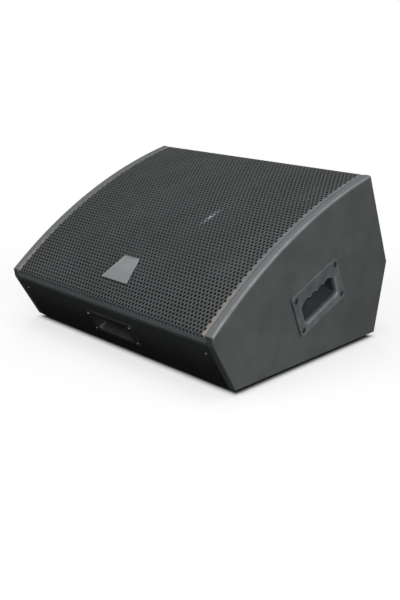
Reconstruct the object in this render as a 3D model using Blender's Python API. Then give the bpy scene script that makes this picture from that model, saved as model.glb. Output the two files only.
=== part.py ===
"""Stage monitor wedge: a two-way floor loudspeaker cabinet with a curved perforated front.

Metres, +Z up. X runs across the cabinet, -Y is the front and the feet stand on Z = 0.
Run it with: blender --background --python part.py
"""

import math

import bmesh
import bpy
from mathutils import Matrix, Vector

# Driving dimensions of the cabinet.
WIDTH = 0.670
SIDE_THICKNESS = 0.018
PANEL_THICKNESS = 0.015
FOOT_HEIGHT = 0.010
GAP = 0.0003

# Corners of the side outline as (depth, height) from the front bottom edge.
FRONT_BOTTOM = Vector((0.0, 0.0))
REAR_BOTTOM = Vector((0.4733, 0.0))
REAR_KNEE = Vector((0.5074, 0.1646))
REAR_TOP = Vector((0.4248, 0.3736))
NOSE_TOP = Vector((-0.0657, 0.1276))
NOSE_BOTTOM = Vector((-0.0620, 0.1070))
CROWN_RISE = 0.0338

# The outline moves so that its box is centred and stands on the feet.
TO_CENTRE = Vector((-(NOSE_TOP.x + REAR_KNEE.x) / 2, FOOT_HEIGHT))
for corner in (FRONT_BOTTOM, REAR_BOTTOM, REAR_KNEE, REAR_TOP, NOSE_TOP, NOSE_BOTTOM):
    corner += TO_CENTRE

# The deck is the straight line under the crowned front: "along" runs up it, "rise" away from it.
DECK_ALONG = (REAR_TOP - NOSE_TOP).normalized()
DECK_RISE = Vector((-DECK_ALONG.y, DECK_ALONG.x))
DECK_CENTRE = (NOSE_TOP + REAR_TOP) / 2
DECK_HALF = (REAR_TOP - NOSE_TOP).length / 2
DECK_TILT = math.atan2(DECK_ALONG.y, DECK_ALONG.x)
CROWN_RADIUS = (DECK_HALF**2 + CROWN_RISE**2) / (2 * CROWN_RISE)
CROWN_STEPS = 20

# The front panel leans forward: "up" runs along its outer face and "in" goes into the cabinet.
FRONT_UP = (NOSE_BOTTOM - FRONT_BOTTOM).normalized()
FRONT_IN = Vector((FRONT_UP.y, -FRONT_UP.x))
FRONT_LEAN = math.atan2(-FRONT_UP.x, FRONT_UP.y)

INNER_HALF_WIDTH = WIDTH / 2 - SIDE_THICKNESS - GAP
REAR_SET_IN = 0.002
CROWN_ROUND = 0.009
SIDE_EDGE_ROUND = 0.0025

# Baffle board and the rails that carry its two ends.
BAFFLE_DROP = 0.024
BAFFLE_BACK = BAFFLE_DROP + PANEL_THICKNESS
FRONT_RAIL_LENGTH = 0.028
REAR_RAIL_LENGTH = 0.044
RAIL_INSET = 0.0028
BATTEN = 0.020

# Perforated sheet and the plate on it.
SHEET_THICKNESS = 0.0015
SHEET_HALF_WIDTH = 0.3160
SHEET_LOWER_FLANGE = 0.017
SHEET_UPPER_FLANGE = 0.015
BADGE_TOP_WIDTH = 0.0480
BADGE_BOTTOM_WIDTH = 0.0850
BADGE_HEIGHT = 0.0680
BADGE_THICKNESS = 0.0025
BADGE_ABOVE_NOSE = 0.0825

# Recessed carrying handles in the sides.
HANDLE_CENTRE = Vector((0.2505, 0.1375)) + TO_CENTRE
HANDLE_TILT = math.radians(22.5)
HANDLE_FLANGE = (0.160, 0.103)
HANDLE_FLANGE_THICKNESS = 0.006
HANDLE_SCREWS = (0.138, 0.0755)
HANDLE_OPENING_HALF = 0.0574
HANDLE_OPENING_LOW = -0.030
HANDLE_OPENING_HIGH = 0.0155
HANDLE_FINGERS = 4
HANDLE_FINGER_RISE = 0.005
HANDLE_POCKET_TOP = 0.0370
HANDLE_POCKET_DEPTH = 0.054
HANDLE_BAR_BACK = -0.006
HANDLE_FLOOR_RISE = 0.020
HANDLE_WALL = 0.003
HANDLE_CUTOUT = (0.125, 0.083)

# Connector dish in the front panel.
DISH_ABOVE_BOTTOM = 0.063
DISH_FLANGE = (0.157, 0.067)
DISH_FLANGE_THICKNESS = 0.003
DISH_SCREWS = (0.1400, 0.0470)
DISH_POCKET = (0.118, 0.044)
DISH_POCKET_DEPTH = 0.020
DISH_WALL = 0.003
DISH_CUTOUT = (0.126, 0.052)
SOCKET_SPACING = 0.057
SOCKET_BORE_RADIUS = 0.0122

# Screws with a low dome head: head radius, head height, shank radius, shank length.
SCREW = (0.0042, 0.0024, 0.0019, 0.016)
SCREW_SIDES = 8

# Rubber feet.
FOOT_RADIUS = 0.019
FOOT_X = 0.270
FOOT_FROM_FRONT = 0.036
FOOT_FROM_REAR = 0.036

# Bass driver, in its own frame: the baffle's front face is at 0 and the axis is +Z, outward.
WOOFER_X = 0.097
WOOFER_FLANGE_RADIUS = 0.194
WOOFER_CUTOUT_RADIUS = 0.1762
CONE_NECK_RADIUS = 0.0388
CONE_RIM_RADIUS = 0.150
CONE_NECK_Z = -0.084
CONE_RIM_Z = -0.009
CONE_THICKNESS = 0.0014
DUST_CAP_RADIUS = 0.052
DUST_CAP_RISE = 0.018
BASKET_WINDOWS = 8
ROUND_STEPS = 22

# Treble horn and reflex ports.
HORN_X = -0.208
HORN_MOUTH = (0.088, 0.122)
HORN_FLANGE = (0.198, 0.266)
HORN_THROAT_RADIUS = 0.0175
HORN_DEPTH = 0.108
HORN_WALL = 0.004
HORN_HOLE_MARGIN = 0.010
DRIVER_RADIUS = 0.050
PORT_ALONG = 0.1835
PORT_RADIUS = 0.038
PORT_HOLE_RADIUS = 0.0392
PORT_WALL = 0.002
PORT_LENGTH = 0.095

# Crossover on the floor of the cabinet, behind the horn.
CROSSOVER_CENTRE = Vector((-0.165, 0.165))
CROSSOVER_BOARD = (0.170, 0.100, 0.0016)
CROSSOVER_STAND_OFF = 0.006

PAINT = ((0.060, 0.062, 0.060), 0.75, 0.0)
SHEET_METAL = ((0.045, 0.047, 0.048), 0.55, 0.6)
BLACK_PLASTIC = ((0.030, 0.031, 0.032), 0.45, 0.0)
RUBBER = ((0.018, 0.018, 0.018), 0.85, 0.0)
RAW_WOOD = ((0.42, 0.29, 0.16), 0.75, 0.0)
BARE_ALUMINIUM = ((0.60, 0.61, 0.62), 0.35, 1.0)
ZINC = ((0.45, 0.46, 0.47), 0.35, 1.0)
CAST_METAL = ((0.05, 0.05, 0.055), 0.5, 0.7)
FERRITE = ((0.08, 0.08, 0.085), 0.7, 0.2)
PAPER = ((0.035, 0.035, 0.035), 0.9, 0.0)
COPPER = ((0.65, 0.28, 0.12), 0.35, 1.0)
CLOTH = ((0.22, 0.16, 0.08), 0.9, 0.0)
BOARD_GREEN = ((0.05, 0.16, 0.08), 0.5, 0.0)
CERAMIC = ((0.75, 0.74, 0.70), 0.7, 0.0)
CABLE_GREY = ((0.10, 0.10, 0.11), 0.6, 0.0)


# ---------------------------------------------------------------- tools


def clear_scene():
    for old in list(bpy.data.objects):
        bpy.data.objects.remove(old, do_unlink=True)


def finish_of(name, finish):
    colour, roughness, metallic = finish
    paint = bpy.data.materials.new(name + "_finish")
    paint.use_nodes = True
    shader = paint.node_tree.nodes["Principled BSDF"]
    shader.inputs["Base Color"].default_value = (*colour, 1.0)
    shader.inputs["Roughness"].default_value = roughness
    shader.inputs["Metallic"].default_value = metallic
    return paint


def add_solid(name, shape, finish, parent=None):
    """The shape as an object of this name. A shape with no finish is a cutter."""
    bmesh.ops.recalc_face_normals(shape, faces=shape.faces)
    mesh = bpy.data.meshes.new(name)
    shape.to_mesh(mesh)
    shape.free()
    solid = bpy.data.objects.new(name, mesh)
    solid.parent = parent
    bpy.context.scene.collection.objects.link(solid)
    if finish is None:
        solid.hide_render = True
        solid.display_type = "WIRE"
    else:
        mesh.materials.append(finish_of(name, finish))
        mesh.shade_smooth()
        mesh.set_sharp_from_angle(angle=math.radians(35))
    return solid


def combine(solid, other, operation):
    step = solid.modifiers.new(operation.lower() + "_" + other.name, "BOOLEAN")
    step.operation = operation
    step.solver = "EXACT"
    step.object = other


def cut(solid, *cutters):
    for cutter in cutters:
        combine(solid, cutter, "DIFFERENCE")


def prism(outline, low, high):
    """A closed outline in XY, stood up between two heights on Z."""
    shape = bmesh.new()
    lower = [shape.verts.new((x, y, low)) for x, y in outline]
    upper = [shape.verts.new((x, y, high)) for x, y in outline]
    shape.faces.new(lower)
    shape.faces.new(upper)
    for i in range(len(outline)):
        j = (i + 1) % len(outline)
        shape.faces.new((lower[i], lower[j], upper[j], upper[i]))
    return shape


def loft(rings, closed):
    """A skin through rings of equally many points. It is capped, or closed back onto its first ring."""
    shape = bmesh.new()
    rows = [[shape.verts.new(point) for point in ring] for ring in rings]
    count = len(rows[0])
    pairs = list(zip(rows, rows[1:] + rows[:1]))
    for lower, upper in pairs if closed else pairs[:-1]:
        for i in range(count):
            j = (i + 1) % count
            shape.faces.new((lower[i], lower[j], upper[j], upper[i]))
    if not closed:
        shape.faces.new(rows[0])
        shape.faces.new(rows[-1])
    return shape


def ring(radius, height, steps):
    angles = [math.tau * i / steps for i in range(steps)]
    return [(radius * math.cos(a), radius * math.sin(a), height) for a in angles]


def turned(profile, steps=ROUND_STEPS, closed=True):
    """A profile of (radius, height) turned about Z. A profile that isn't closed is a solid bar with flat ends."""
    return loft([ring(radius, height, steps) for radius, height in profile], closed)


def joined(shapes):
    whole = bmesh.new()
    for shape in shapes:
        piece = bpy.data.meshes.new("piece")
        shape.to_mesh(piece)
        shape.free()
        whole.from_mesh(piece)
        bpy.data.meshes.remove(piece)
    return whole


def moved(shape, x=0.0, y=0.0, z=0.0):
    shape.transform(Matrix.Translation((x, y, z)))
    return shape


def rounded_rectangle(width, height, radius, steps=4):
    points = []
    for quarter, (side_x, side_y) in enumerate(((1, 1), (-1, 1), (-1, -1), (1, -1))):
        middle = Vector((side_x * (width / 2 - radius), side_y * (height / 2 - radius)))
        for i in range(steps + 1):
            angle = math.pi / 2 * (quarter + i / steps)
            points.append(middle + radius * Vector((math.cos(angle), math.sin(angle))))
    return points


def block(width, depth, low, high, x=0.0, y=0.0):
    return moved(prism(rounded_rectangle(width, depth, 0.0005, 1), low, high), x, y)


def four_corners(spacing):
    return [(sx * spacing[0] / 2, sy * spacing[1] / 2) for sx in (-1, 1) for sy in (-1, 1)]


# ---------------------------------------------------------------- frames


def add_frame(name, matrix):
    frame = bpy.data.objects.new(name, None)
    bpy.context.scene.collection.objects.link(frame)
    frame.matrix_world = matrix
    return frame


def section_matrix():
    """Outline X to the cabinet's depth, outline Y to its height, and extrusion to its width."""
    return Matrix(((0, 0, 1, 0), (1, 0, 0, 0), (0, 1, 0, 0), (0, 0, 0, 1)))


def tilted_frame(name, x, point, tilt):
    place = Matrix.Translation((x, point.x, point.y))
    return add_frame(name, place @ Matrix.Rotation(tilt, 4, "X"))


def handle_matrix(side):
    """Local X along the handle, Y up across it, Z out of the side. The left one is the mirror image."""
    turn = section_matrix() @ Matrix.Rotation(HANDLE_TILT, 4, "Z")
    place = Matrix.Translation((WIDTH / 2, HANDLE_CENTRE.x, HANDLE_CENTRE.y))
    return Matrix.Diagonal((side, 1, 1, 1)) @ place @ turn


def from_deck(along, rise):
    return DECK_CENTRE + DECK_ALONG * along + DECK_RISE * rise


def crown(along, inset=0.0):
    """How far the crowned front stands above the deck line there, less the inset."""
    radius = CROWN_RADIUS - inset
    return math.sqrt(radius**2 - along**2) - (CROWN_RADIUS - CROWN_RISE)


def meet(point, direction, other, other_direction):
    """Where two lines cross."""
    between = other - point
    across = direction.x * other_direction.y - direction.y * other_direction.x
    reach = (between.x * other_direction.y - between.y * other_direction.x) / across
    return point + direction * reach


def section(name, outline, finish, half_width=INNER_HALF_WIDTH):
    """A board that runs across the cabinet, from its outline in depth and height."""
    shape = prism(outline, -half_width, half_width)
    shape.transform(section_matrix())
    return add_solid(name, shape, finish)


# ---------------------------------------------------------------- cabinet


def side_outline():
    steps = range(CROWN_STEPS, -1, -1)
    alongs = [DECK_HALF * (2 * i / CROWN_STEPS - 1) for i in steps]
    arc = [from_deck(along, crown(along)) for along in alongs]
    return [FRONT_BOTTOM, REAR_BOTTOM, REAR_KNEE, *arc, NOSE_BOTTOM]


def make_side_panel(name, side, handle_frame):
    """The board, with its crowned edge rounded over and the other outer edges eased."""
    outline = side_outline()
    inner = WIDTH / 2 - SIDE_THICKNESS
    shape = prism(outline, inner, WIDTH / 2)
    weights = shape.edges.layers.float.new("bevel_weight_edge")
    crown_points = range(3, 3 + CROWN_STEPS)
    shape.verts.ensure_lookup_table()
    count = len(outline)
    for i in range(count):
        edge = shape.edges.get((shape.verts[count + i], shape.verts[count + (i + 1) % count]))
        on_crown = i in crown_points
        edge[weights] = 1.0 if on_crown else SIDE_EDGE_ROUND / CROWN_ROUND
    shape.transform(Matrix.Diagonal((side, 1, 1, 1)) @ section_matrix())
    panel = add_solid(name, shape, PAINT)
    rounding = panel.modifiers.new("rounded_edges", "BEVEL")
    rounding.limit_method = "WEIGHT"
    rounding.width = CROWN_ROUND
    rounding.segments = 3
    mouth = prism(rounded_rectangle(*HANDLE_CUTOUT, 0.004, 2), -0.1, 0.1)
    cut(panel, add_solid(name + "_cutout", mouth, None, handle_frame))
    return panel


def rear_lines():
    """The way up the two rear boards, each with the way in from its outer face: lower, then upper."""
    lower = (REAR_KNEE - REAR_BOTTOM).normalized()
    upper = (REAR_TOP - REAR_KNEE).normalized()
    lower_in = Vector((-lower.y, lower.x))
    upper_in = Vector((-upper.y, upper.x))
    return lower, lower_in, upper, upper_in


def make_bottom_panel():
    top = FOOT_HEIGHT + PANEL_THICKNESS
    level = Vector((1, 0))
    lower, lower_in, _, _ = rear_lines()
    edge = REAR_BOTTOM + lower_in * REAR_SET_IN
    outline = [
        FRONT_BOTTOM,
        meet(edge, lower, REAR_BOTTOM, level),
        meet(edge, lower, Vector((0, top)), level),
        meet(FRONT_BOTTOM, FRONT_UP, Vector((0, top)), level),
    ]
    return section("bottom_panel", outline, PAINT)


def make_front_panel(dish_frame):
    floor = Vector((0, FOOT_HEIGHT + PANEL_THICKNESS + GAP))
    level = Vector((1, 0))
    top = NOSE_BOTTOM - FRONT_UP * GAP
    inner = top + FRONT_IN * PANEL_THICKNESS
    outline = [
        meet(FRONT_BOTTOM, FRONT_UP, floor, level),
        meet(inner, FRONT_UP, floor, level),
        inner,
        top,
    ]
    panel = section("front_panel", outline, PAINT)
    mouth = prism(rounded_rectangle(*DISH_CUTOUT, 0.004, 2), -0.05, 0.05)
    cut(panel, add_solid("front_panel_cutout", mouth, None, dish_frame))
    return panel


def make_rear_panels():
    floor = Vector((0, FOOT_HEIGHT + PANEL_THICKNESS + GAP))
    level = Vector((1, 0))
    lower, lower_in, upper, upper_in = rear_lines()
    depths = (REAR_SET_IN, REAR_SET_IN + PANEL_THICKNESS)
    lower_faces = [REAR_KNEE + lower_in * depth for depth in depths]
    upper_faces = [REAR_KNEE + upper_in * depth for depth in depths]
    knees = [meet(low, lower, high, upper) for low, high in zip(lower_faces, upper_faces)]
    feet = [meet(face, lower, floor, level) for face in lower_faces]
    tops = []
    for along in (DECK_HALF - REAR_SET_IN, DECK_HALF - REAR_SET_IN - PANEL_THICKNESS):
        tops.append(from_deck(along, crown(along, RAIL_INSET)))
    tops = [
        meet(face, upper, tops[0], tops[1] - tops[0]) for face in upper_faces
    ]
    mitre = GAP * 0.6
    lower_outline = [feet[0], knees[0] - lower * mitre, knees[1] - lower * mitre, feet[1]]
    upper_outline = [knees[0] + upper * mitre, tops[0], tops[1], knees[1] + upper * mitre]
    section("rear_lower_panel", lower_outline, PAINT)
    section("rear_upper_panel", upper_outline, PAINT)
    return upper_faces[1], upper


def make_front_rail():
    """The batten behind the folded edge of the sheet. It caps the front panel and carries the baffle."""
    end = -DECK_HALF + FRONT_RAIL_LENGTH
    nose_up = (NOSE_TOP - NOSE_BOTTOM).normalized()
    nose_in = Vector((nose_up.y, -nose_up.x))
    nose_face = NOSE_BOTTOM + nose_in * RAIL_INSET
    seat = from_deck(-DECK_HALF, crown(-DECK_HALF, RAIL_INSET))
    top = from_deck(end, crown(end, RAIL_INSET))
    heel = NOSE_BOTTOM + FRONT_IN * (PANEL_THICKNESS + GAP)
    back = from_deck(end, -BAFFLE_BACK)
    outline = [
        meet(nose_face, nose_up, NOSE_BOTTOM, FRONT_IN),
        meet(nose_face, nose_up, seat, top - seat),
        top,
        back,
        meet(heel, FRONT_UP, back, DECK_ALONG),
        heel,
    ]
    section("front_rail", outline, RAW_WOOD)


def make_rear_rail(panel_face, panel_up):
    start = DECK_HALF - REAR_RAIL_LENGTH + GAP
    face = panel_face - DECK_ALONG * GAP
    corners = [from_deck(start, crown(start, RAIL_INSET)), from_deck(start, -BAFFLE_BACK)]
    end = DECK_HALF - REAR_SET_IN - PANEL_THICKNESS
    slope = from_deck(end, crown(end, RAIL_INSET)) - corners[0]
    outline = [
        corners[0],
        meet(face, panel_up, corners[0], slope),
        meet(face, panel_up, corners[1], DECK_ALONG),
        corners[1],
    ]
    section("rear_rail", outline, RAW_WOOD)


def make_baffle(deck_frame):
    low = -DECK_HALF + FRONT_RAIL_LENGTH + GAP
    high = DECK_HALF - REAR_RAIL_LENGTH
    corners = [(low, -BAFFLE_DROP), (high, -BAFFLE_DROP), (high, -BAFFLE_BACK), (low, -BAFFLE_BACK)]
    board = section("baffle_board", [from_deck(*corner) for corner in corners], RAW_WOOD)
    below, above = -0.05, 0.02
    driver = turned([(WOOFER_CUTOUT_RADIUS, below), (WOOFER_CUTOUT_RADIUS, above)], closed=False)
    throat = rounded_rectangle(*(2 * half + HORN_HOLE_MARGIN for half in HORN_MOUTH), 0.03)
    holes = [moved(driver, WOOFER_X), moved(prism(throat, below, above), HORN_X)]
    for side in (-1, 1):
        port = turned([(PORT_HOLE_RADIUS, below), (PORT_HOLE_RADIUS, above)], closed=False)
        holes.append(moved(port, HORN_X, side * PORT_ALONG))
    cut(board, add_solid("baffle_cutouts", joined(holes), None, deck_frame))


def make_battens():
    low = -DECK_HALF + FRONT_RAIL_LENGTH + 0.015
    high = DECK_HALF - REAR_RAIL_LENGTH - 0.015
    top = -BAFFLE_BACK - GAP
    outline = [(low, top), (high, top), (high, top - BATTEN), (low, top - BATTEN)]
    for name, side in (("baffle_batten_left", -1), ("baffle_batten_right", 1)):
        shape = prism([from_deck(*point) for point in outline], INNER_HALF_WIDTH - BATTEN, INNER_HALF_WIDTH)
        shape.transform(Matrix.Diagonal((side, 1, 1, 1)) @ section_matrix())
        add_solid(name, shape, RAW_WOOD)


# ---------------------------------------------------------------- sheet and badge


def make_grille():
    """The curved sheet, with its lower edge folded round the nose and its upper edge over the back."""
    nose_down = (NOSE_BOTTOM - NOSE_TOP).normalized()
    back_down = (REAR_KNEE - REAR_TOP).normalized()
    steps = range(CROWN_STEPS + 1)
    alongs = [DECK_HALF * (2 * i / CROWN_STEPS - 1) for i in steps]
    outer = [NOSE_TOP + nose_down * SHEET_LOWER_FLANGE]
    outer += [from_deck(along, crown(along)) for along in alongs]
    outer.append(REAR_TOP + back_down * SHEET_UPPER_FLANGE)
    runs = [(after - before).normalized() for before, after in zip(outer, outer[1:])]
    into = [Vector((run.y, -run.x)) * SHEET_THICKNESS for run in runs]
    inner = [outer[0] + into[0]]
    for i in range(1, len(outer) - 1):
        inner.append(meet(outer[i] + into[i - 1], runs[i - 1], outer[i] + into[i], runs[i]))
    inner.append(outer[-1] + into[-1])
    section("grille_sheet", outer + inner[::-1], SHEET_METAL, SHEET_HALF_WIDTH)


def make_grille_screws():
    """Three screws hold the upper fold to the back."""
    back_down = (REAR_KNEE - REAR_TOP).normalized()
    place = REAR_TOP + back_down * SHEET_UPPER_FLANGE / 2
    tilt = math.atan2(back_down.y, back_down.x)
    sheet, wood = bpy.data.objects["grille_sheet"], bpy.data.objects["rear_upper_panel"]
    rail = bpy.data.objects["rear_rail"]
    for i, x in enumerate((-0.24, 0.0, 0.24)):
        frame = tilted_frame(f"grille_screw_frame_{i + 1}", x, place, tilt)
        add_screw(f"grille_screw_{i + 1}", 0, 0, frame, (sheet, wood, rail))


def make_badge():
    along = BADGE_ABOVE_NOSE - DECK_HALF
    tilt = DECK_TILT - math.asin(along / CROWN_RADIUS)
    frame = tilted_frame("badge_frame", 0.0, from_deck(along, crown(along)), tilt)
    half = BADGE_HEIGHT / 2
    corners = [
        (-BADGE_BOTTOM_WIDTH / 2, -half),
        (BADGE_BOTTOM_WIDTH / 2, -half),
        (BADGE_TOP_WIDTH / 2, half),
        (-BADGE_TOP_WIDTH / 2, half),
    ]
    plate = prism(corners, GAP, GAP + BADGE_THICKNESS)
    uprights = [edge for edge in plate.edges if abs(edge.verts[0].co.z - edge.verts[1].co.z) > GAP]
    bmesh.ops.bevel(plate, geom=uprights, offset=0.003, segments=3, affect="EDGES")
    add_solid("badge_plate", plate, BARE_ALUMINIUM, frame)


# ---------------------------------------------------------------- screws


def add_screw(name, x, y, frame, through, lift=0.0):
    """A dome-headed screw whose head stands on local Z = lift, and its hole through what it holds."""
    head, height, shank, length = SCREW
    dome = [(head, lift + GAP), (head, lift + 0.3 * height), (0.75 * head, lift + 0.8 * height)]
    dome.append((0.3 * head, lift + height))
    shaft = [(0.2 * shank, -length), (shank, -length + 0.003), (shank, lift + GAP)]
    add_solid(name, moved(turned(shaft + dome, SCREW_SIDES, False), x, y), ZINC, frame)
    bore = shank + GAP
    drill = moved(turned([(bore, -length - 0.002), (bore, 0.02)], SCREW_SIDES, False), x, y)
    hole = add_solid(name + "_hole", drill, None, frame)
    for solid in through:
        cut(solid, hole)


# ---------------------------------------------------------------- handles


def opening_outline():
    """The mouth of the handle: straight below, with a row of finger scallops above."""
    half, low, high = HANDLE_OPENING_HALF, HANDLE_OPENING_LOW, HANDLE_OPENING_HIGH
    corner = 0.008
    points = []
    for side, start in ((-1, math.pi), (1, 1.5 * math.pi)):
        middle = Vector((side * (half - corner), low + corner))
        for i in range(4):
            angle = start + math.pi / 2 * i / 3
            points.append(middle + corner * Vector((math.cos(angle), math.sin(angle))))
    pitch = 2 * half / HANDLE_FINGERS
    bend = 5
    for finger in range(HANDLE_FINGERS):
        right = half - finger * pitch
        for i in range(bend if finger < HANDLE_FINGERS - 1 else bend + 1):
            share = i / bend
            bulge = math.sin(math.pi * share)
            points.append(Vector((right - pitch * share, high + HANDLE_FINGER_RISE * bulge)))
    return points


def make_handle(name, frame, panel):
    """One moulding: a raised frame, the grip bar above its mouth, and a pocket that slopes in behind."""
    lip = HANDLE_FLANGE_THICKNESS
    flange = prism(rounded_rectangle(*HANDLE_FLANGE, 0.009), GAP, lip)
    top_edges = [edge for edge in flange.edges if min(v.co.z for v in edge.verts) > lip - GAP]
    bmesh.ops.bevel(flange, geom=top_edges, offset=0.002, segments=2, affect="EDGES")
    cup = add_solid(name, flange, BLACK_PLASTIC, frame)
    wall, depth = HANDLE_WALL, HANDLE_POCKET_DEPTH
    low, high, half = HANDLE_OPENING_LOW, HANDLE_POCKET_TOP, HANDLE_OPENING_HALF
    back_low = low + HANDLE_FLOOR_RISE
    shell_outline = [
        (low - wall, lip - 0.001),
        (low - wall, -0.004),
        (back_low - wall, -depth - wall),
        (high + wall, -depth - wall),
        (high + wall, lip - 0.001),
    ]
    pocket_outline = [
        (low, HANDLE_BAR_BACK),
        (back_low, -depth),
        (high - 0.012, -depth),
        (high, -depth + 0.012),
        (high, HANDLE_BAR_BACK),
    ]
    shell = prism(shell_outline, -half - wall, half + wall)
    pocket = prism(pocket_outline, -half, half)
    for shape in (shell, pocket):
        shape.transform(section_matrix())
    combine(cup, add_solid(name + "_shell", shell, None, frame), "UNION")
    cut(cup, add_solid(name + "_pocket", pocket, None, frame))
    mouth = prism(opening_outline(), HANDLE_BAR_BACK - 0.002, 0.02)
    cut(cup, add_solid(name + "_mouth", mouth, None, frame))
    for i, (x, y) in enumerate(four_corners(HANDLE_SCREWS)):
        add_screw(f"{name}_screw_{i + 1}", x, y, frame, (cup, panel), lip)


# ---------------------------------------------------------------- connectors


def make_dish(frame, panel):
    """A moulded dish let into the front panel, with a round hole for each socket."""
    lip = DISH_FLANGE_THICKNESS
    flange = prism(rounded_rectangle(*DISH_FLANGE, 0.006), GAP, lip)
    top_edges = [edge for edge in flange.edges if min(v.co.z for v in edge.verts) > lip - GAP]
    bmesh.ops.bevel(flange, geom=top_edges, offset=0.001, segments=1, affect="EDGES")
    dish = add_solid("connector_dish", flange, BLACK_PLASTIC, frame)
    width, height = DISH_POCKET
    wall, floor = DISH_WALL, -DISH_POCKET_DEPTH
    shell = prism(rounded_rectangle(width + 2 * wall, height + 2 * wall, 0.008), floor - wall, lip - 0.001)
    rings = []
    for shrink, z in ((0.008, floor), (0.0, 0.02)):
        outline = rounded_rectangle(width - shrink, height - shrink, 0.006)
        rings.append([(*point, z) for point in outline])
    combine(dish, add_solid("dish_shell", shell, None, frame), "UNION")
    cut(dish, add_solid("dish_pocket", loft(rings, False), None, frame))
    bores = []
    for side in (-1, 1):
        bar = turned([(SOCKET_BORE_RADIUS, floor - 0.01), (SOCKET_BORE_RADIUS, 0.0)], 16, False)
        bores.append(moved(bar, side * SOCKET_SPACING / 2))
    cut(dish, add_solid("dish_bores", joined(bores), None, frame))
    for i, (x, y) in enumerate(four_corners(DISH_SCREWS)):
        add_screw(f"dish_screw_{i + 1}", x, y, frame, (dish, panel), lip)
    for name, side in (("speaker_socket_left", -1), ("speaker_socket_right", 1)):
        make_socket(name, side * SOCKET_SPACING / 2, floor, frame)


def make_socket(name, x, floor, frame):
    """A round four-pole socket: a front collar, a ring-shaped bore with a core in it, and a rear body."""
    body = SOCKET_BORE_RADIUS - GAP
    front = floor + GAP
    profile = [
        (0.0015, front + 0.001),
        (0.0050, front + 0.001),
        (0.0050, front - 0.015),
        (0.0096, front - 0.015),
        (0.0096, front + 0.003),
        (0.0150, front + 0.003),
        (0.0155, front + 0.002),
        (0.0155, front),
        (body, front),
        (body, front - 0.027),
        (0.0015, front - 0.027),
    ]
    add_solid(name, moved(turned(profile, 16, False), x), BLACK_PLASTIC, frame)


# ---------------------------------------------------------------- feet


def make_feet():
    """Round rubber feet with a countersunk hollow underneath for their screw."""
    top = FOOT_HEIGHT - GAP
    profile = [
        (0.0065, 0.0),
        (FOOT_RADIUS - 0.0025, 0.0),
        (FOOT_RADIUS - 0.0010, 0.0015),
        (FOOT_RADIUS, top),
        (0.0025, top),
        (0.0025, 0.0065),
        (0.0065, 0.0045),
    ]
    rows = {"front": FRONT_BOTTOM.x + FOOT_FROM_FRONT, "rear": REAR_BOTTOM.x - FOOT_FROM_REAR}
    for row, y in rows.items():
        for side, x in (("left", -FOOT_X), ("right", FOOT_X)):
            foot = add_solid(f"foot_{row}_{side}", turned(profile, 16), RUBBER)
            foot.location = (x, y, 0.0)


# ---------------------------------------------------------------- bass driver


def cone_height(radius):
    share = (radius - CONE_NECK_RADIUS) / (CONE_RIM_RADIUS - CONE_NECK_RADIUS)
    return CONE_NECK_Z + (CONE_RIM_Z - CONE_NECK_Z) * share**0.85


def thin_skin(line, thickness):
    """A profile line of (radius, height) and the same line lower down, as one closed outline."""
    return [*line, *((radius, height - thickness) for radius, height in reversed(line))]


def make_basket(frame):
    profile = [
        (WOOFER_FLANGE_RADIUS, GAP),
        (WOOFER_FLANGE_RADIUS, 0.0055),
        (0.1735, 0.0055),
        (0.1735, -0.0070),
        (0.1640, -0.0070),
        (0.1640, -0.0100),
        (0.1680, -0.0120),
        (0.1040, -0.0920),
        (0.0990, -0.0930),
        (0.0990, -0.0883),
        (0.0880, -0.0883),
        (0.0880, -0.0930),
        (0.0600, -0.0930),
        (0.0600, -0.0970),
        (0.1070, -0.0970),
        (0.1755, -0.0120),
        (0.1755, GAP),
    ]
    basket = add_solid("woofer_basket", turned(profile), CAST_METAL, frame)
    inner, outer, half_leg = 0.114, 0.160, 0.011
    windows = []
    for i in range(BASKET_WINDOWS):
        half = math.pi / BASKET_WINDOWS
        outline = []
        for radius, sides in ((inner, (-1, 0, 1)), (outer, (1, 0, -1))):
            reach = half - half_leg / radius
            for side in sides:
                angle = side * reach + half * 2 * i
                outline.append((radius * math.cos(angle), radius * math.sin(angle)))
        windows.append(prism(outline, -0.120, -0.010))
    cut(basket, add_solid("basket_windows", joined(windows), None, frame))


def make_motor(frame):
    """Front plate, ring magnet, and the yoke with its pole up through the coil."""
    plate = [(0.0392, -0.1053), (0.0820, -0.1053), (0.0820, -0.0973), (0.0392, -0.0973)]
    magnet = [(0.0420, -0.1256), (0.0950, -0.1256), (0.0950, -0.1056), (0.0420, -0.1056)]
    yoke = [
        (0.0120, -0.1339),
        (0.0820, -0.1339),
        (0.0820, -0.1259),
        (0.0366, -0.1259),
        (0.0366, -0.0973),
        (0.0120, -0.0973),
    ]
    add_solid("woofer_front_plate", turned(plate), ZINC, frame)
    add_solid("woofer_magnet", turned(magnet), FERRITE, frame)
    add_solid("woofer_yoke", turned(yoke), ZINC, frame)


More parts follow.
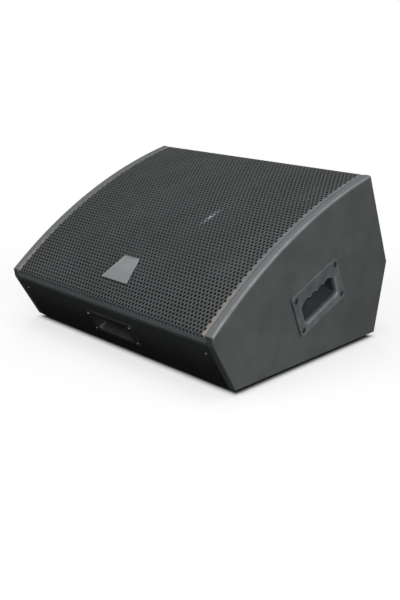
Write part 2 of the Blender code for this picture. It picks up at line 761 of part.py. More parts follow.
def make_cone_assembly(frame):
    """The pieces that slide along the driver's axis."""
    steps = 6
    reach = CONE_RIM_RADIUS - CONE_NECK_RADIUS
    radii = [CONE_NECK_RADIUS + reach * (i / steps) ** 1.3 for i in range(steps + 1)]
    line = [(radius, cone_height(radius)) for radius in radii]
    add_solid("woofer_cone", turned(thin_skin(line, CONE_THICKNESS)), PAPER, frame)
    coil = [(0.0374, -0.1180), (0.0384, -0.1180), (0.0384, -0.0800), (0.0374, -0.0800)]
    add_solid("woofer_voice_coil", turned(coil), COPPER, frame)
    rim = cone_height(DUST_CAP_RADIUS) + GAP + CONE_THICKNESS
    bends = 5
    dome = []
    for i in range(bends):
        angle = math.pi / 2 * i / bends
        dome.append((DUST_CAP_RADIUS * math.cos(angle), rim + DUST_CAP_RISE * math.sin(angle)))
    dome.append((0.0006, rim + DUST_CAP_RISE))
    under = [(max(radius - 0.0012, 0.0004), height - CONE_THICKNESS) for radius, height in reversed(dome)]
    under[-1] = (DUST_CAP_RADIUS - 0.0016, rim)
    add_solid("woofer_dust_cap", turned(under + dome, closed=False), PAPER, frame)


def make_suspension(frame):
    """The rolled edge round the cone and the corrugated disc round its coil. Both flex."""
    start, end = CONE_RIM_RADIUS + GAP, 0.1635
    roll = [(start, CONE_RIM_Z)]
    bends = 6
    for i in range(1, bends):
        share = i / bends
        height = CONE_RIM_Z + 0.0022 * share + 0.0055 * math.sin(math.pi * share)
        roll.append((start + (end - start) * share, height))
    roll += [(end, -0.0057), (0.1730, -0.0057)]
    add_solid("woofer_surround", turned(thin_skin(roll, 0.0009)), RUBBER, frame)
    waves = [(0.0388, -0.0872)]
    folds = 8
    for i in range(1, folds):
        height = -0.0872 + (0.0014 if i % 2 else -0.0014)
        waves.append((0.0388 + (0.088 - 0.0388) * i / folds, height))
    waves += [(0.0885, -0.0872), (0.0980, -0.0872)]
    add_solid("woofer_spider", turned(thin_skin(waves, 0.0007)), CLOTH, frame)


# ---------------------------------------------------------------- treble horn and ports


def horn_ring(half_width, half_height, squareness, height, steps=ROUND_STEPS):
    points = []
    for i in range(steps):
        angle = math.tau * (i + 0.5) / steps
        across, up = math.cos(angle), math.sin(angle)
        x = math.copysign(abs(across) ** (2 / squareness), across) * half_width
        y = math.copysign(abs(up) ** (2 / squareness), up) * half_height
        points.append((x, y, height))
    return points


def make_horn(frame):
    """The flare opens from a round throat to a tall mouth with a flat mounting rim."""
    stations = 7
    inner = []
    for i in range(stations):
        share = i / (stations - 1)
        opening = share**2.2
        width = HORN_THROAT_RADIUS + (HORN_MOUTH[0] - HORN_THROAT_RADIUS) * opening
        height = HORN_THROAT_RADIUS + (HORN_MOUTH[1] - HORN_THROAT_RADIUS) * share**1.6
        depth = -HORN_DEPTH * (1 - share) + 0.004 * share
        inner.append((width, height, 2 + 6 * share, depth))
    outer = [(w + HORN_WALL, h + HORN_WALL, n, min(z, GAP)) for w, h, n, z in reversed(inner)]
    outer[-1] = (0.030, 0.030, 2, -HORN_DEPTH)
    outer.insert(-1, (0.030, 0.030, 2, -HORN_DEPTH + 0.006))
    rim = [
        (HORN_FLANGE[0] / 2, HORN_FLANGE[1] / 2, 14, 0.004),
        (HORN_FLANGE[0] / 2, HORN_FLANGE[1] / 2, 14, GAP),
    ]
    rings = [horn_ring(*station) for station in inner + rim + outer]
    add_solid("horn_flare", loft(rings, True), BLACK_PLASTIC, frame)


def make_compression_driver(frame):
    top = -HORN_DEPTH - GAP
    body = [
        (0.0125, top),
        (0.0280, top),
        (0.0280, top - 0.008),
        (DRIVER_RADIUS - 0.004, top - 0.010),
        (DRIVER_RADIUS, top - 0.014),
        (DRIVER_RADIUS, top - 0.034),
        (0.0125, top - 0.034),
    ]
    cover_top = top - 0.034 - GAP
    cover = [
        (DRIVER_RADIUS - 0.003, cover_top),
        (DRIVER_RADIUS - 0.003, cover_top - 0.008),
        (DRIVER_RADIUS - 0.014, cover_top - 0.017),
        (0.010, cover_top - 0.018),
    ]
    add_solid("horn_driver_magnet", turned(body), FERRITE, frame)
    add_solid("horn_driver_cover", turned(cover, closed=False), BLACK_PLASTIC, frame)


def make_port(name, frame, along):
    """A flanged tube through the baffle, with a flared mouth."""
    inside = PORT_RADIUS - PORT_WALL
    profile = [
        (PORT_RADIUS + 0.006, GAP),
        (PORT_RADIUS + 0.006, 0.003),
        (inside + 0.003, 0.003),
        (inside, -0.002),
        (inside, -PORT_LENGTH),
        (PORT_RADIUS, -PORT_LENGTH),
        (PORT_RADIUS, GAP),
    ]
    tube = add_solid(name, turned(profile, 20), BLACK_PLASTIC, frame)
    tube.location = (0.0, along, 0.0)


# ---------------------------------------------------------------- crossover and wiring


def make_crossover():
    floor = FOOT_HEIGHT + PANEL_THICKNESS
    x, y = CROSSOVER_CENTRE
    width, depth, thick = CROSSOVER_BOARD
    low = floor + CROSSOVER_STAND_OFF
    board = add_solid("crossover_board", block(width, depth, low, low + thick, x, y), BOARD_GREEN)
    posts = []
    for px, py in four_corners((width - 0.012, depth - 0.012)):
        posts.append(moved(turned([(0.004, floor + GAP), (0.004, low + 0.0005)], 12, False), x + px, y + py))
    combine(board, add_solid("crossover_posts", joined(posts), None), "UNION")
    top = low + thick + GAP
    coil = [
        (0.009, top),
        (0.027, top),
        (0.027, top + 0.002),
        (0.022, top + 0.003),
        (0.022, top + 0.021),
        (0.027, top + 0.022),
        (0.027, top + 0.024),
        (0.009, top + 0.024),
    ]
    add_solid("crossover_coil", moved(turned(coil, 16), x - 0.050, y - 0.010), COPPER)
    can = turned([(0.0130, -0.024), (0.0140, -0.023), (0.0140, 0.023), (0.0130, 0.024)], 20, False)
    can.transform(Matrix.Rotation(math.pi / 2, 4, "Y"))
    add_solid("crossover_capacitor", moved(can, x + 0.025, y + 0.024, top + 0.0141), CABLE_GREY)
    resistor = block(0.050, 0.010, top, top + 0.010, x + 0.025, y - 0.020)
    add_solid("crossover_resistor", resistor, CERAMIC)


def smooth_route(points, steps=4):
    """Points along a smooth curve through the route's own points, with no overshoot beside short stretches."""
    route = [Vector(point) for point in points]
    ends = [2 * route[0] - route[1], *route, 2 * route[-1] - route[-2]]
    pyramid = (((0, 1), (1, 2), (2, 3)), ((0, 2), (1, 3)), ((1, 2),))
    line = []
    for run in zip(ends, ends[1:], ends[2:], ends[3:]):
        times = [0.0]
        for before, after in zip(run, run[1:]):
            times.append(times[-1] + math.sqrt((after - before).length))
        for i in range(steps):
            now = times[1] + (times[2] - times[1]) * i / steps
            level = run
            for spans in pyramid:
                shares = [(now - times[start]) / (times[end] - times[start]) for start, end in spans]
                level = [a.lerp(b, share) for a, b, share in zip(level, level[1:], shares)]
            line.append(level[0])
    return [*line, route[-1]]


def add_cable(name, points, radius=0.003):
    line = smooth_route(points)
    curve = bpy.data.curves.new(name, "CURVE")
    curve.dimensions = "3D"
    curve.bevel_depth = radius
    curve.bevel_resolution = 2
    curve.use_fill_caps = True
    spline = curve.splines.new("POLY")
    spline.points.add(len(line) - 1)
    for knot, point in zip(spline.points, line):
        knot.co = (*point, 1.0)
    curve.materials.append(finish_of(name, CABLE_GREY))
    bpy.context.scene.collection.objects.link(bpy.data.objects.new(name, curve))


def make_cables(dish_frame, woofer_frame, horn_frame):
    """Sockets to crossover, crossover to bass driver, crossover to treble driver."""
    board_top = FOOT_HEIGHT + PANEL_THICKNESS + CROSSOVER_STAND_OFF + CROSSOVER_BOARD[2]
    x, y = CROSSOVER_CENTRE
    rest = board_top + 0.004
    socket_back = -DISH_POCKET_DEPTH - 0.0275
    socket = dish_frame.matrix_world @ Vector((-SOCKET_SPACING / 2, 0.0, socket_back))
    behind = dish_frame.matrix_world @ Vector((-SOCKET_SPACING / 2, 0.0, socket_back - 0.014))
    add_cable(
        "cable_sockets_to_crossover",
        [
            socket,
            behind,
            (-0.050, -0.115, 0.045),
            (-0.075, -0.060, rest),
            (-0.095, 0.020, rest),
            (-0.100, 0.085, rest),
            (x + 0.075, y - 0.025, rest),
            (x + 0.075, y - 0.010, rest),
        ],
    )
    terminal = woofer_frame.matrix_world @ Vector((-0.060, 0.088, -0.1010))
    clear = woofer_frame.matrix_world @ Vector((-0.075, 0.102, -0.112))
    add_cable(
        "cable_crossover_to_woofer",
        [
            (x + 0.075, y + 0.020, rest),
            (x + 0.092, y + 0.022, rest + 0.003),
            (-0.030, 0.185, 0.050),
            (0.000, 0.165, 0.110),
            clear,
            terminal,
        ],
        0.0025,
    )
    cover = horn_frame.matrix_world @ Vector((0.0, 0.020, -HORN_DEPTH - 0.0545))
    away = horn_frame.matrix_world @ Vector((0.0, 0.022, -HORN_DEPTH - 0.068))
    add_cable(
        "cable_crossover_to_horn",
        [
            (x - 0.078, y - 0.035, rest),
            (x - 0.078, y - 0.050, rest + 0.004),
            (x - 0.066, y - 0.075, 0.050),
            away,
            cover,
        ],
        0.0025,
    )


# ---------------------------------------------------------------- the whole wedge


def build():
    clear_scene()
    handle_frames = {side: add_frame(name, handle_matrix(side)) for name, side in (
        ("handle_frame_left", -1),
        ("handle_frame_right", 1),
    )}
    panels = {
        -1: make_side_panel("side_panel_left", -1, handle_frames[-1]),
        1: make_side_panel("side_panel_right", 1, handle_frames[1]),
    }
    make_handle("handle_left", handle_frames[-1], panels[-1])
    make_handle("handle_right", handle_frames[1], panels[1])

    dish_place = FRONT_BOTTOM + FRONT_UP * DISH_ABOVE_BOTTOM
    dish_frame = tilted_frame("dish_frame", 0.0, dish_place, math.pi / 2 + FRONT_LEAN)
    make_bottom_panel()
    front_panel = make_front_panel(dish_frame)
    make_dish(dish_frame, front_panel)
    rear_face, rear_up = make_rear_panels()
    make_front_rail()
    make_rear_rail(rear_face, rear_up)

    baffle_place = from_deck(0.0, -BAFFLE_DROP)
    deck_frame = tilted_frame("deck_frame", 0.0, baffle_place, DECK_TILT)
    make_baffle(deck_frame)
    make_battens()
    make_grille()
    make_grille_screws()
    make_badge()
    make_feet()

    woofer_frame = tilted_frame("woofer_frame", WOOFER_X, baffle_place, DECK_TILT)
    make_basket(woofer_frame)
    make_motor(woofer_frame)
    make_cone_assembly(woofer_frame)
    make_suspension(woofer_frame)

    horn_frame = tilted_frame("horn_frame", HORN_X, baffle_place, DECK_TILT)
    make_horn(horn_frame)
    make_compression_driver(horn_frame)
    make_port("port_tube_lower", horn_frame, -PORT_ALONG)
    make_port("port_tube_upper", horn_frame, PORT_ALONG)

    make_crossover()
    make_cables(dish_frame, woofer_frame, horn_frame)


build()
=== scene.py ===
"""The finish of a stage monitor wedge: a two-way floor loudspeaker with a curved perforated front.

Metres, +Z up. X runs across the cabinet, -Y is the front and the feet stand on Z = 0.
"""

import math

import bmesh
import bpy
import numpy as np
from mathutils import Matrix, Vector


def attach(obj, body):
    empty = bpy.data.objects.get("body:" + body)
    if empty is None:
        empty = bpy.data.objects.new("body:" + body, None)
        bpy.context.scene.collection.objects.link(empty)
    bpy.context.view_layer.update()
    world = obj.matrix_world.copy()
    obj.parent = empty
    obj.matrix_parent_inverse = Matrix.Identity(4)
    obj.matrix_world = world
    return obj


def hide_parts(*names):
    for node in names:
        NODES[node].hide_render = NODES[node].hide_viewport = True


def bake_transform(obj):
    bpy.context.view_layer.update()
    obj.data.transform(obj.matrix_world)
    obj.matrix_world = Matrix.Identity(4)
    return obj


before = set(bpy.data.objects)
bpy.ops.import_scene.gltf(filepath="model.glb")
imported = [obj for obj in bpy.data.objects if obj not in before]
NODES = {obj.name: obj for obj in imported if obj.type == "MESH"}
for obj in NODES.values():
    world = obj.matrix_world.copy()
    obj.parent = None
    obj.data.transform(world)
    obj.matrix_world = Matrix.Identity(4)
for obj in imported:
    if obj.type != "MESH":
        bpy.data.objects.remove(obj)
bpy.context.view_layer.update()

CABINET = "cabinet"
CONE_BODY = "cone_assembly"

# The cabinet, as the frame has it.
WIDTH = 0.670
SIDE_THICKNESS = 0.018
FOOT_HEIGHT = 0.010
GAP = 0.0003

FRONT_BOTTOM = Vector((0.0, 0.0))
REAR_BOTTOM = Vector((0.4733, 0.0))
REAR_KNEE = Vector((0.5074, 0.1646))
REAR_TOP = Vector((0.4248, 0.3736))
NOSE_TOP = Vector((-0.0657, 0.1276))
NOSE_BOTTOM = Vector((-0.0620, 0.1070))
CROWN_RISE = 0.0338
TO_CENTRE = Vector((-(NOSE_TOP.x + REAR_KNEE.x) / 2, FOOT_HEIGHT))
for corner in (FRONT_BOTTOM, REAR_BOTTOM, REAR_KNEE, REAR_TOP, NOSE_TOP, NOSE_BOTTOM):
    corner += TO_CENTRE

# The deck is the straight line under the crowned front.
DECK_ALONG = (REAR_TOP - NOSE_TOP).normalized()
DECK_RISE = Vector((-DECK_ALONG.y, DECK_ALONG.x))
DECK_CENTRE = (NOSE_TOP + REAR_TOP) / 2
DECK_HALF = (REAR_TOP - NOSE_TOP).length / 2
DECK_TILT = math.atan2(DECK_ALONG.y, DECK_ALONG.x)
CROWN_RADIUS = (DECK_HALF**2 + CROWN_RISE**2) / (2 * CROWN_RISE)
CROWN_LENGTH = 2 * CROWN_RADIUS * math.asin(DECK_HALF / CROWN_RADIUS)
BAFFLE_DROP = 0.024

FRONT_UP = (NOSE_BOTTOM - FRONT_BOTTOM).normalized()
FRONT_LEAN = math.atan2(-FRONT_UP.x, FRONT_UP.y)


# ---------------------------------------------------------------- shader tools


class Value:
    """A shader socket that takes part in arithmetic."""

    def __init__(self, paint, socket):
        self.paint = paint
        self.socket = socket

    def maths(self, operation, *others):
        return self.paint.node("ShaderNodeMath", {"operation": operation}, [self, *others])

    def __add__(self, other):
        return self.maths("ADD", other)

    def __sub__(self, other):
        return self.maths("SUBTRACT", other)

    def __rsub__(self, other):
        return self.paint.node("ShaderNodeMath", {"operation": "SUBTRACT"}, [other, self])

    def __mul__(self, other):
        return self.maths("MULTIPLY", other)

    __radd__ = __add__
    __rmul__ = __mul__

    def mapped(self, low, high, to_low=0.0, to_high=1.0):
        """This value from low..high onto to_low..to_high, eased and held at both ends."""
        sockets = {"Value": self, "From Min": low, "From Max": high, "To Min": to_low, "To Max": to_high}
        return self.paint.node("ShaderNodeMapRange", {"interpolation_type": "SMOOTHSTEP"}, sockets)


class Graph:
    """A shader tree, and one way to add any node to it."""

    def __init__(self, tree):
        self.tree = tree

    def plug(self, socket, value):
        if isinstance(value, Value):
            self.tree.links.new(value.socket, socket)
        elif isinstance(value, tuple) and len(value) == 3 and socket.type == "RGBA":
            socket.default_value = (*value, 1.0)
        else:
            socket.default_value = value

    def node(self, kind, settings=None, sockets=(), output=0):
        made = self.tree.nodes.new(kind)
        for name, value in (settings or {}).items():
            if name == "stops":
                self.set_stops(made.color_ramp, value)
            else:
                setattr(made, name, value)
        pairs = sockets.items() if isinstance(sockets, dict) else enumerate(sockets)
        for name, value in pairs:
            self.plug(made.inputs[name], value)
        return Value(self, made.outputs[output])

    @staticmethod
    def set_stops(ramp, stops):
        while len(ramp.elements) < len(stops):
            ramp.elements.new(0.5)
        for element, (position, grey) in zip(ramp.elements, stops):
            element.position = position
            element.color = (grey, grey, grey, 1.0)

    def blend(self, share, low, high):
        """A colour between two colours."""
        return self.node("ShaderNodeMix", {"data_type": "RGBA"}, {0: share, 6: low, 7: high}, output=2)


class Paint(Graph):
    """A material with one Principled shader."""

    def __init__(self, name, **constants):
        self.material = bpy.data.materials.new(name)
        self.material.use_nodes = True
        super().__init__(self.material.node_tree)
        self.shader = self.tree.nodes["Principled BSDF"]
        self.output = self.tree.nodes["Material Output"]
        self.drive(**constants)

    def drive(self, **sockets):
        for name, value in sockets.items():
            self.plug(self.shader.inputs[name.replace("_", " ").title().replace("Ior", "IOR")], value)

    def place(self, stretch=(1.0, 1.0, 1.0)):
        """The point on the piece, in metres, stretched along each axis."""
        point = self.node("ShaderNodeTexCoord", output="Object")
        return self.node("ShaderNodeMapping", sockets={"Vector": point, "Scale": stretch})

    def noise(self, scale, detail=3.0, roughness=0.55, stretch=(1.0, 1.0, 1.0)):
        sockets = {"Vector": self.place(stretch), "Scale": scale, "Detail": detail, "Roughness": roughness}
        return self.node("ShaderNodeTexNoise", {"normalize": True}, sockets)

    def cells(self, scale):
        return self.node("ShaderNodeTexVoronoi", sockets={"Vector": self.place(), "Scale": scale})

    def along(self, axis):
        """The place on the piece along one axis, in metres."""
        point = self.node("ShaderNodeTexCoord", output="Object")
        return self.node("ShaderNodeSeparateXYZ", sockets=[point], output=axis)

    def relief(self, height, depth, strength=1.0):
        sockets = {"Height": height, "Distance": depth, "Strength": strength}
        self.drive(normal=self.node("ShaderNodeBump", sockets=sockets))


def shade(colour, factor):
    return tuple(min(1.0, channel * factor) for channel in colour)


# ---------------------------------------------------------------- finishes


def paint_ground(name, gloss, depth=0.55):
    """What the cabinet paints share: broad clouds, fine grain, and pebbles of about a millimetre."""
    paint = Paint(name, metallic=0.0, specular_ior_level=gloss)
    clouds = paint.noise(9.0, 4.0, 0.6)
    grain = paint.noise(620.0, 2.0)
    paint.relief(paint.cells(430.0) * 0.6 + grain * 0.6, 0.00035, depth)
    return paint, clouds, grain


def textured_paint(name, colour):
    """Rolled cabinet paint, slightly uneven and scuffed here and there."""
    paint, clouds, grain = paint_ground(name, 0.45)
    base = paint.blend(clouds.mapped(0.32, 0.68), shade(colour, 0.91), shade(colour, 1.09))
    speck = grain.mapped(0.62, 0.74, 0.0, 0.55)
    scuffs = paint.noise(70.0, 5.0, 0.7, (1.0, 0.35, 1.6)).mapped(0.66, 0.76, 0.0, 0.5)
    paint_colour = paint.blend(speck, base, shade(colour, 1.7))
    paint_colour = paint.blend(scuffs, paint_colour, shade(colour, 1.45))
    paint.drive(base_color=paint_colour, roughness=clouds.mapped(0.3, 0.7, 0.52, 0.66))
    return paint.material


def floor_shaded_paint(name, colour):
    """The same paint on the low front, with painted shade that darkens it towards the floor."""
    paint, clouds, grain = paint_ground(name, 0.4)
    # Painted shade: darker towards the floor, for the shade that falls on the low front.
    floor_shade_ramp = (paint.along("Z") + clouds * 0.02).mapped(0.04, 0.14)
    base = paint.blend(floor_shade_ramp, shade(colour, 0.25), shade(colour, 1.25))
    paint_colour = paint.blend(grain.mapped(0.62, 0.74, 0.0, 0.4), base, shade(colour, 1.5))
    paint.drive(base_color=paint_colour, roughness=clouds.mapped(0.3, 0.7, 0.50, 0.64))
    return paint.material


def edge_worn_and_highlit_paint(name, colour):
    """The cabinet paint of the side boards, paler and smoother where rubbing wears the rounded edge, with a painted
    highlight on that edge where it faces up, and painted light on faces turned up.
    """
    paint, clouds, grain = paint_ground(name, 0.5, 0.5)
    normal = paint.node("ShaderNodeNewGeometry", output="Normal")
    sideways = paint.node("ShaderNodeSeparateXYZ", sockets=[normal]).maths("ABSOLUTE")
    upward = paint.node("ShaderNodeSeparateXYZ", sockets=[normal], output="Z").mapped(0.05, 0.35)
    rounding = sideways.mapped(0.02, 0.30) * sideways.mapped(0.95, 0.75)
    # Wear and painted highlight: the paler band is kept to the rounded edge where it faces up to the lamps.
    rub_and_highlight = rounding * upward * paint.noise(26.0, 5.0, 0.7).mapped(0.30, 0.70, 0.55, 1.0)
    base = paint.blend(clouds.mapped(0.32, 0.68), shade(colour, 0.91), shade(colour, 1.09))
    speck = grain.mapped(0.62, 0.74, 0.0, 0.5)
    paint_colour = paint.blend(speck, base, shade(colour, 1.7))
    # Painted light: faces turned up to the lamps are painted a lighter bluish grey.
    top = sideways.mapped(0.35, 0.05) * upward
    paint_colour = paint.blend(top * 0.8, paint_colour, (0.132, 0.136, 0.140))
    paint_colour = paint.blend(rub_and_highlight * 0.9, paint_colour, (0.190, 0.206, 0.224))
    paint.drive(base_color=paint_colour, roughness=clouds.mapped(0.3, 0.7, 0.52, 0.66) - rub_and_highlight * 0.14)
    return paint.material


def powder_coat(name, colour):
    """Fine satin powder coat on steel sheet, mottled by dust, with paler side margins from wear and painted
    highlight, and painted light below the lower fold.
    """
    paint = Paint(name, metallic=0.0, specular_ior_level=0.5)
    dust = paint.noise(6.5, 5.0, 0.65)
    patches = paint.noise(42.0, 3.0)
    peel = paint.noise(900.0, 2.0)
    base = paint.blend(dust.mapped(0.30, 0.72), shade(colour, 0.85), shade(colour, 1.18))
    base = paint.blend(patches.mapped(0.55, 0.75, 0.0, 0.35), base, shade(colour, 1.35))
    # Wear and painted highlight: the plain side margins above the lower fold are painted paler, bluish grey higher
    # up and warm grey near the bottom.
    margin = paint.along("X").maths("ABSOLUTE").mapped(0.302, 0.308)
    height = paint.along("Z")
    rub_and_highlight = margin * height.mapped(0.1340, 0.1372) * patches.mapped(0.3, 0.6, 0.65, 0.95)
    margin_rub_and_highlight = paint.blend(height.mapped(0.26, 0.14), (0.140, 0.147, 0.155), (0.235, 0.215, 0.195))
    base = paint.blend(rub_and_highlight, base, margin_rub_and_highlight)
    # Painted light: the strip below the lower fold faces the front, away from most of the light, and is painted
    # much lighter.
    base = paint.blend(height.mapped(0.1372, 0.1345), base, shade(colour, 2.3))
    rise = height - RUB_MARK[1]
    beside = (paint.along("X") - RUB_MARK[0] - rise * 0.36).maths("ABSOLUTE")
    streak = beside.mapped(0.009, 0.001) * rise.maths("ABSOLUTE").mapped(0.018, 0.002)
    spot = beside.mapped(0.006, 0.002) * rise.maths("ABSOLUTE").mapped(0.0035, 0.0008)
    base = paint.blend((streak * 0.30 + spot * 0.35).maths("MINIMUM", 1.0), base, (0.42, 0.45, 0.48))
    paint.drive(base_color=base, roughness=dust.mapped(0.3, 0.7, 0.42, 0.56))
    paint.relief(peel, 0.00015, 0.4)
    return paint.material


def moulded_plastic(name, colour, roughness=0.42):
    """Moulded plastic with a fine spark-eroded grain and handling marks."""
    paint = Paint(name, metallic=0.0, specular_ior_level=0.5)
    marks = paint.noise(38.0, 5.0, 0.7)
    grain = paint.noise(1100.0, 2.0)
    base = paint.blend(marks.mapped(0.35, 0.70), shade(colour, 0.88), shade(colour, 1.2))
    paint.drive(base_color=base, roughness=marks.mapped(0.3, 0.7, roughness - 0.07, roughness + 0.08))
    paint.relief(grain, 0.00012, 0.45)
    return paint.material


def brushed_metal(name, colour, roughness=0.34, stretch=(1.0, 26.0, 26.0)):
    """Bare metal with fine lines brushed across it."""
    paint = Paint(name, metallic=1.0)
    lines = paint.noise(60.0, 4.0, 0.7, stretch)
    haze = paint.noise(30.0, 3.0)
    base = paint.blend(lines.mapped(0.3, 0.7), shade(colour, 0.88), shade(colour, 1.08))
    paint.drive(base_color=base, roughness=haze.mapped(0.3, 0.7, roughness - 0.06, roughness + 0.08))
    paint.relief(lines, 0.00006, 0.35)
    return paint.material


def rough_solid(name, colour, roughness, scale, depth, metallic=0.0):
    """A plain mottled solid, such as rubber, ferrite, pulp or cast metal."""
    paint = Paint(name, metallic=metallic)
    mottle = paint.noise(scale, 5.0, 0.65)
    grain = paint.noise(scale * 7.0, 2.0)
    base = paint.blend(mottle.mapped(0.3, 0.7), shade(colour, 0.8), shade(colour, 1.25))
    paint.drive(base_color=base, roughness=grain.mapped(0.2, 0.8, roughness - 0.08, roughness + 0.06))
    paint.relief(mottle * 0.5 + grain, depth, 0.5)
    return paint.material


def bare_wood(name, colour):
    """Birch ply and battens: long grain along X with darker streaks."""
    paint = Paint(name, metallic=0.0)
    grain = paint.noise(55.0, 6.0, 0.7, (0.12, 1.0, 1.0))
    streaks = paint.noise(14.0, 3.0, 0.5, (0.08, 1.0, 1.0))
    base = paint.blend(grain.mapped(0.3, 0.7), shade(colour, 0.72), shade(colour, 1.12))
    base = paint.blend(streaks.mapped(0.55, 0.75, 0.0, 0.5), base, shade(colour, 0.5))
    paint.drive(base_color=base, roughness=grain.mapped(0.2, 0.8, 0.62, 0.8))
    paint.relief(grain, 0.0003, 0.4)
    return paint.material


def woven_cloth(name, colour, scale=900.0):
    """Treated cloth with a plain weave."""
    paint = Paint(name, metallic=0.0)
    place = paint.place()
    warp = paint.node("ShaderNodeTexWave", {"bands_direction": "X"}, {"Vector": place, "Scale": scale / 6})
    weft = paint.node("ShaderNodeTexWave", {"bands_direction": "Y"}, {"Vector": place, "Scale": scale / 6})
    weave = warp * weft
    base = paint.blend(weave, shade(colour, 0.7), shade(colour, 1.25))
    paint.drive(base_color=base, roughness=weave.mapped(0.0, 1.0, 0.85, 0.7))
    paint.relief(weave, 0.0002, 0.5)
    return paint.material


def wound_wire(name, colour):
    """Enamelled wire wound in close turns."""
    paint = Paint(name, metallic=1.0)
    turns = paint.node("ShaderNodeTexWave", {"bands_direction": "Z"}, {"Vector": paint.place(), "Scale": 180.0})
    tint = paint.noise(90.0, 3.0)
    base = paint.blend(turns, shade(colour, 0.45), colour)
    paint.drive(base_color=base, roughness=tint.mapped(0.3, 0.7, 0.28, 0.42))
    paint.relief(turns, 0.0004, 0.7)
    return paint.material


PAINT_GREY = (0.060, 0.064, 0.063)
SHEET_GREY = (0.046, 0.050, 0.052)
RUB_MARK = (0.0958, 0.2937)
PLASTIC_GREY = (0.082, 0.088, 0.092)

cabinet_paint = textured_paint("cabinet_paint", PAINT_GREY)
side_paint = edge_worn_and_highlit_paint("side_paint", PAINT_GREY)
# Painted shade: the front and bottom panels take the cabinet paint at half brightness, for the shade on faces
# turned down, away from the lamps.
shaded_front_paint = floor_shaded_paint("shaded_front_paint", shade(PAINT_GREY, 0.5))
baffle_black = rough_solid("baffle_black", (0.012, 0.012, 0.012), 0.85, 60.0, 0.0003)
sheet_coat = powder_coat("sheet_coat", SHEET_GREY)
handle_plastic = moulded_plastic("handle_plastic", PLASTIC_GREY, 0.46)
# Wear and painted highlight: the mouth roll of the handle is paler, bluish and smoother than the rest of the
# moulding.
rubbed_highlit_plastic = moulded_plastic("rubbed_highlit_plastic", (0.125, 0.134, 0.144), 0.30)
# Painted shade: the handle's pocket takes a darker copy of its plastic, for the shade in the recess.
shaded_pocket_plastic = moulded_plastic("shaded_pocket_plastic", (0.036, 0.041, 0.048), 0.42)
dish_plastic = moulded_plastic("dish_plastic", (0.018, 0.019, 0.020), 0.44)
inner_plastic = moulded_plastic("inner_plastic", (0.020, 0.020, 0.021), 0.5)
socket_plastic = moulded_plastic("socket_plastic", (0.020, 0.021, 0.023), 0.32)
badge_metal = brushed_metal("badge_metal", (0.42, 0.43, 0.44), 0.38)
black_screw = rough_solid("black_screw", (0.030, 0.031, 0.032), 0.42, 500.0, 0.00008, 0.7)
bright_screw = brushed_metal("bright_screw", (0.20, 0.205, 0.21), 0.42)
contact_metal = brushed_metal("contact_metal", (0.62, 0.55, 0.36), 0.3)
foot_rubber = rough_solid("foot_rubber", (0.016, 0.016, 0.016), 0.78, 180.0, 0.0002)
raw_wood = bare_wood("raw_wood", (0.42, 0.29, 0.16))
cast_coat = rough_solid("cast_coat", (0.022, 0.022, 0.024), 0.5, 240.0, 0.0002, 0.4)
ferrite = rough_solid("ferrite", (0.06, 0.06, 0.062), 0.75, 150.0, 0.0002)
plated_steel = brushed_metal("plated_steel", (0.50, 0.51, 0.52), 0.34)
cone_pulp = rough_solid("cone_pulp", (0.020, 0.020, 0.021), 0.72, 260.0, 0.0003)
cap_cloth = rough_solid("cap_cloth", (0.036, 0.038, 0.040), 0.45, 420.0, 0.0002)
surround_cloth = woven_cloth("surround_cloth", (0.030, 0.028, 0.026))
spider_cloth = woven_cloth("spider_cloth", (0.24, 0.17, 0.08))
copper_wire = wound_wire("copper_wire", (0.62, 0.27, 0.12))
board_green = rough_solid("board_green", (0.03, 0.12, 0.06), 0.4, 90.0, 0.0001)
ceramic = rough_solid("ceramic", (0.72, 0.70, 0.66), 0.72, 260.0, 0.0002)
capacitor_film = moulded_plastic("capacitor_film", (0.11, 0.12, 0.16), 0.3)
cable_jacket = rough_solid("cable_jacket", (0.05, 0.05, 0.054), 0.6, 300.0, 0.0001)

CARRIED_FINISHES = {
    "bottom_panel": shaded_front_paint,
    "front_panel": shaded_front_paint,
    "rear_lower_panel": cabinet_paint,
    "rear_upper_panel": cabinet_paint,
    "front_rail": baffle_black,
    "rear_rail": baffle_black,
    "baffle_board": baffle_black,
    "baffle_batten_left": raw_wood,
    "baffle_batten_right": raw_wood,
    "woofer_basket": cast_coat,
    "woofer_magnet": ferrite,
    "woofer_front_plate": plated_steel,
    "woofer_yoke": plated_steel,
    "woofer_voice_coil": copper_wire,
    "horn_flare": inner_plastic,
    "horn_driver_magnet": ferrite,
    "horn_driver_cover": inner_plastic,
    "port_tube_lower": inner_plastic,
    "port_tube_upper": inner_plastic,
    "crossover_board": board_green,
    "crossover_coil": copper_wire,
    "crossover_capacitor": capacitor_film,
    "crossover_resistor": ceramic,
    "cable_sockets_to_crossover": cable_jacket,
    "cable_crossover_to_woofer": cable_jacket,
    "cable_crossover_to_horn": cable_jacket,
}


def finish_carried_nodes():
    for name, finish in CARRIED_FINISHES.items():
        node = NODES[name]
        node.data.materials.clear()
        node.data.materials.append(finish)


# ---------------------------------------------------------------- mesh tools


def from_deck(along, rise):
    return DECK_CENTRE + DECK_ALONG * along + DECK_RISE * rise


def crown(along):
    return math.sqrt(CROWN_RADIUS**2 - along**2) - (CROWN_RADIUS - CROWN_RISE)


def section_matrix():
    """Outline X to the cabinet's depth, outline Y to its height, and extrusion to its width."""
    return Matrix(((0, 0, 1, 0), (1, 0, 0, 0), (0, 1, 0, 0), (0, 0, 0, 1)))


def tilted(x, point, tilt):
    return Matrix.Translation((x, point.x, point.y)) @ Matrix.Rotation(tilt, 4, "X")


def turn_out(matrix, shape):
    shape.transform(matrix)
    bmesh.ops.recalc_face_normals(shape, faces=shape.faces)
    return shape


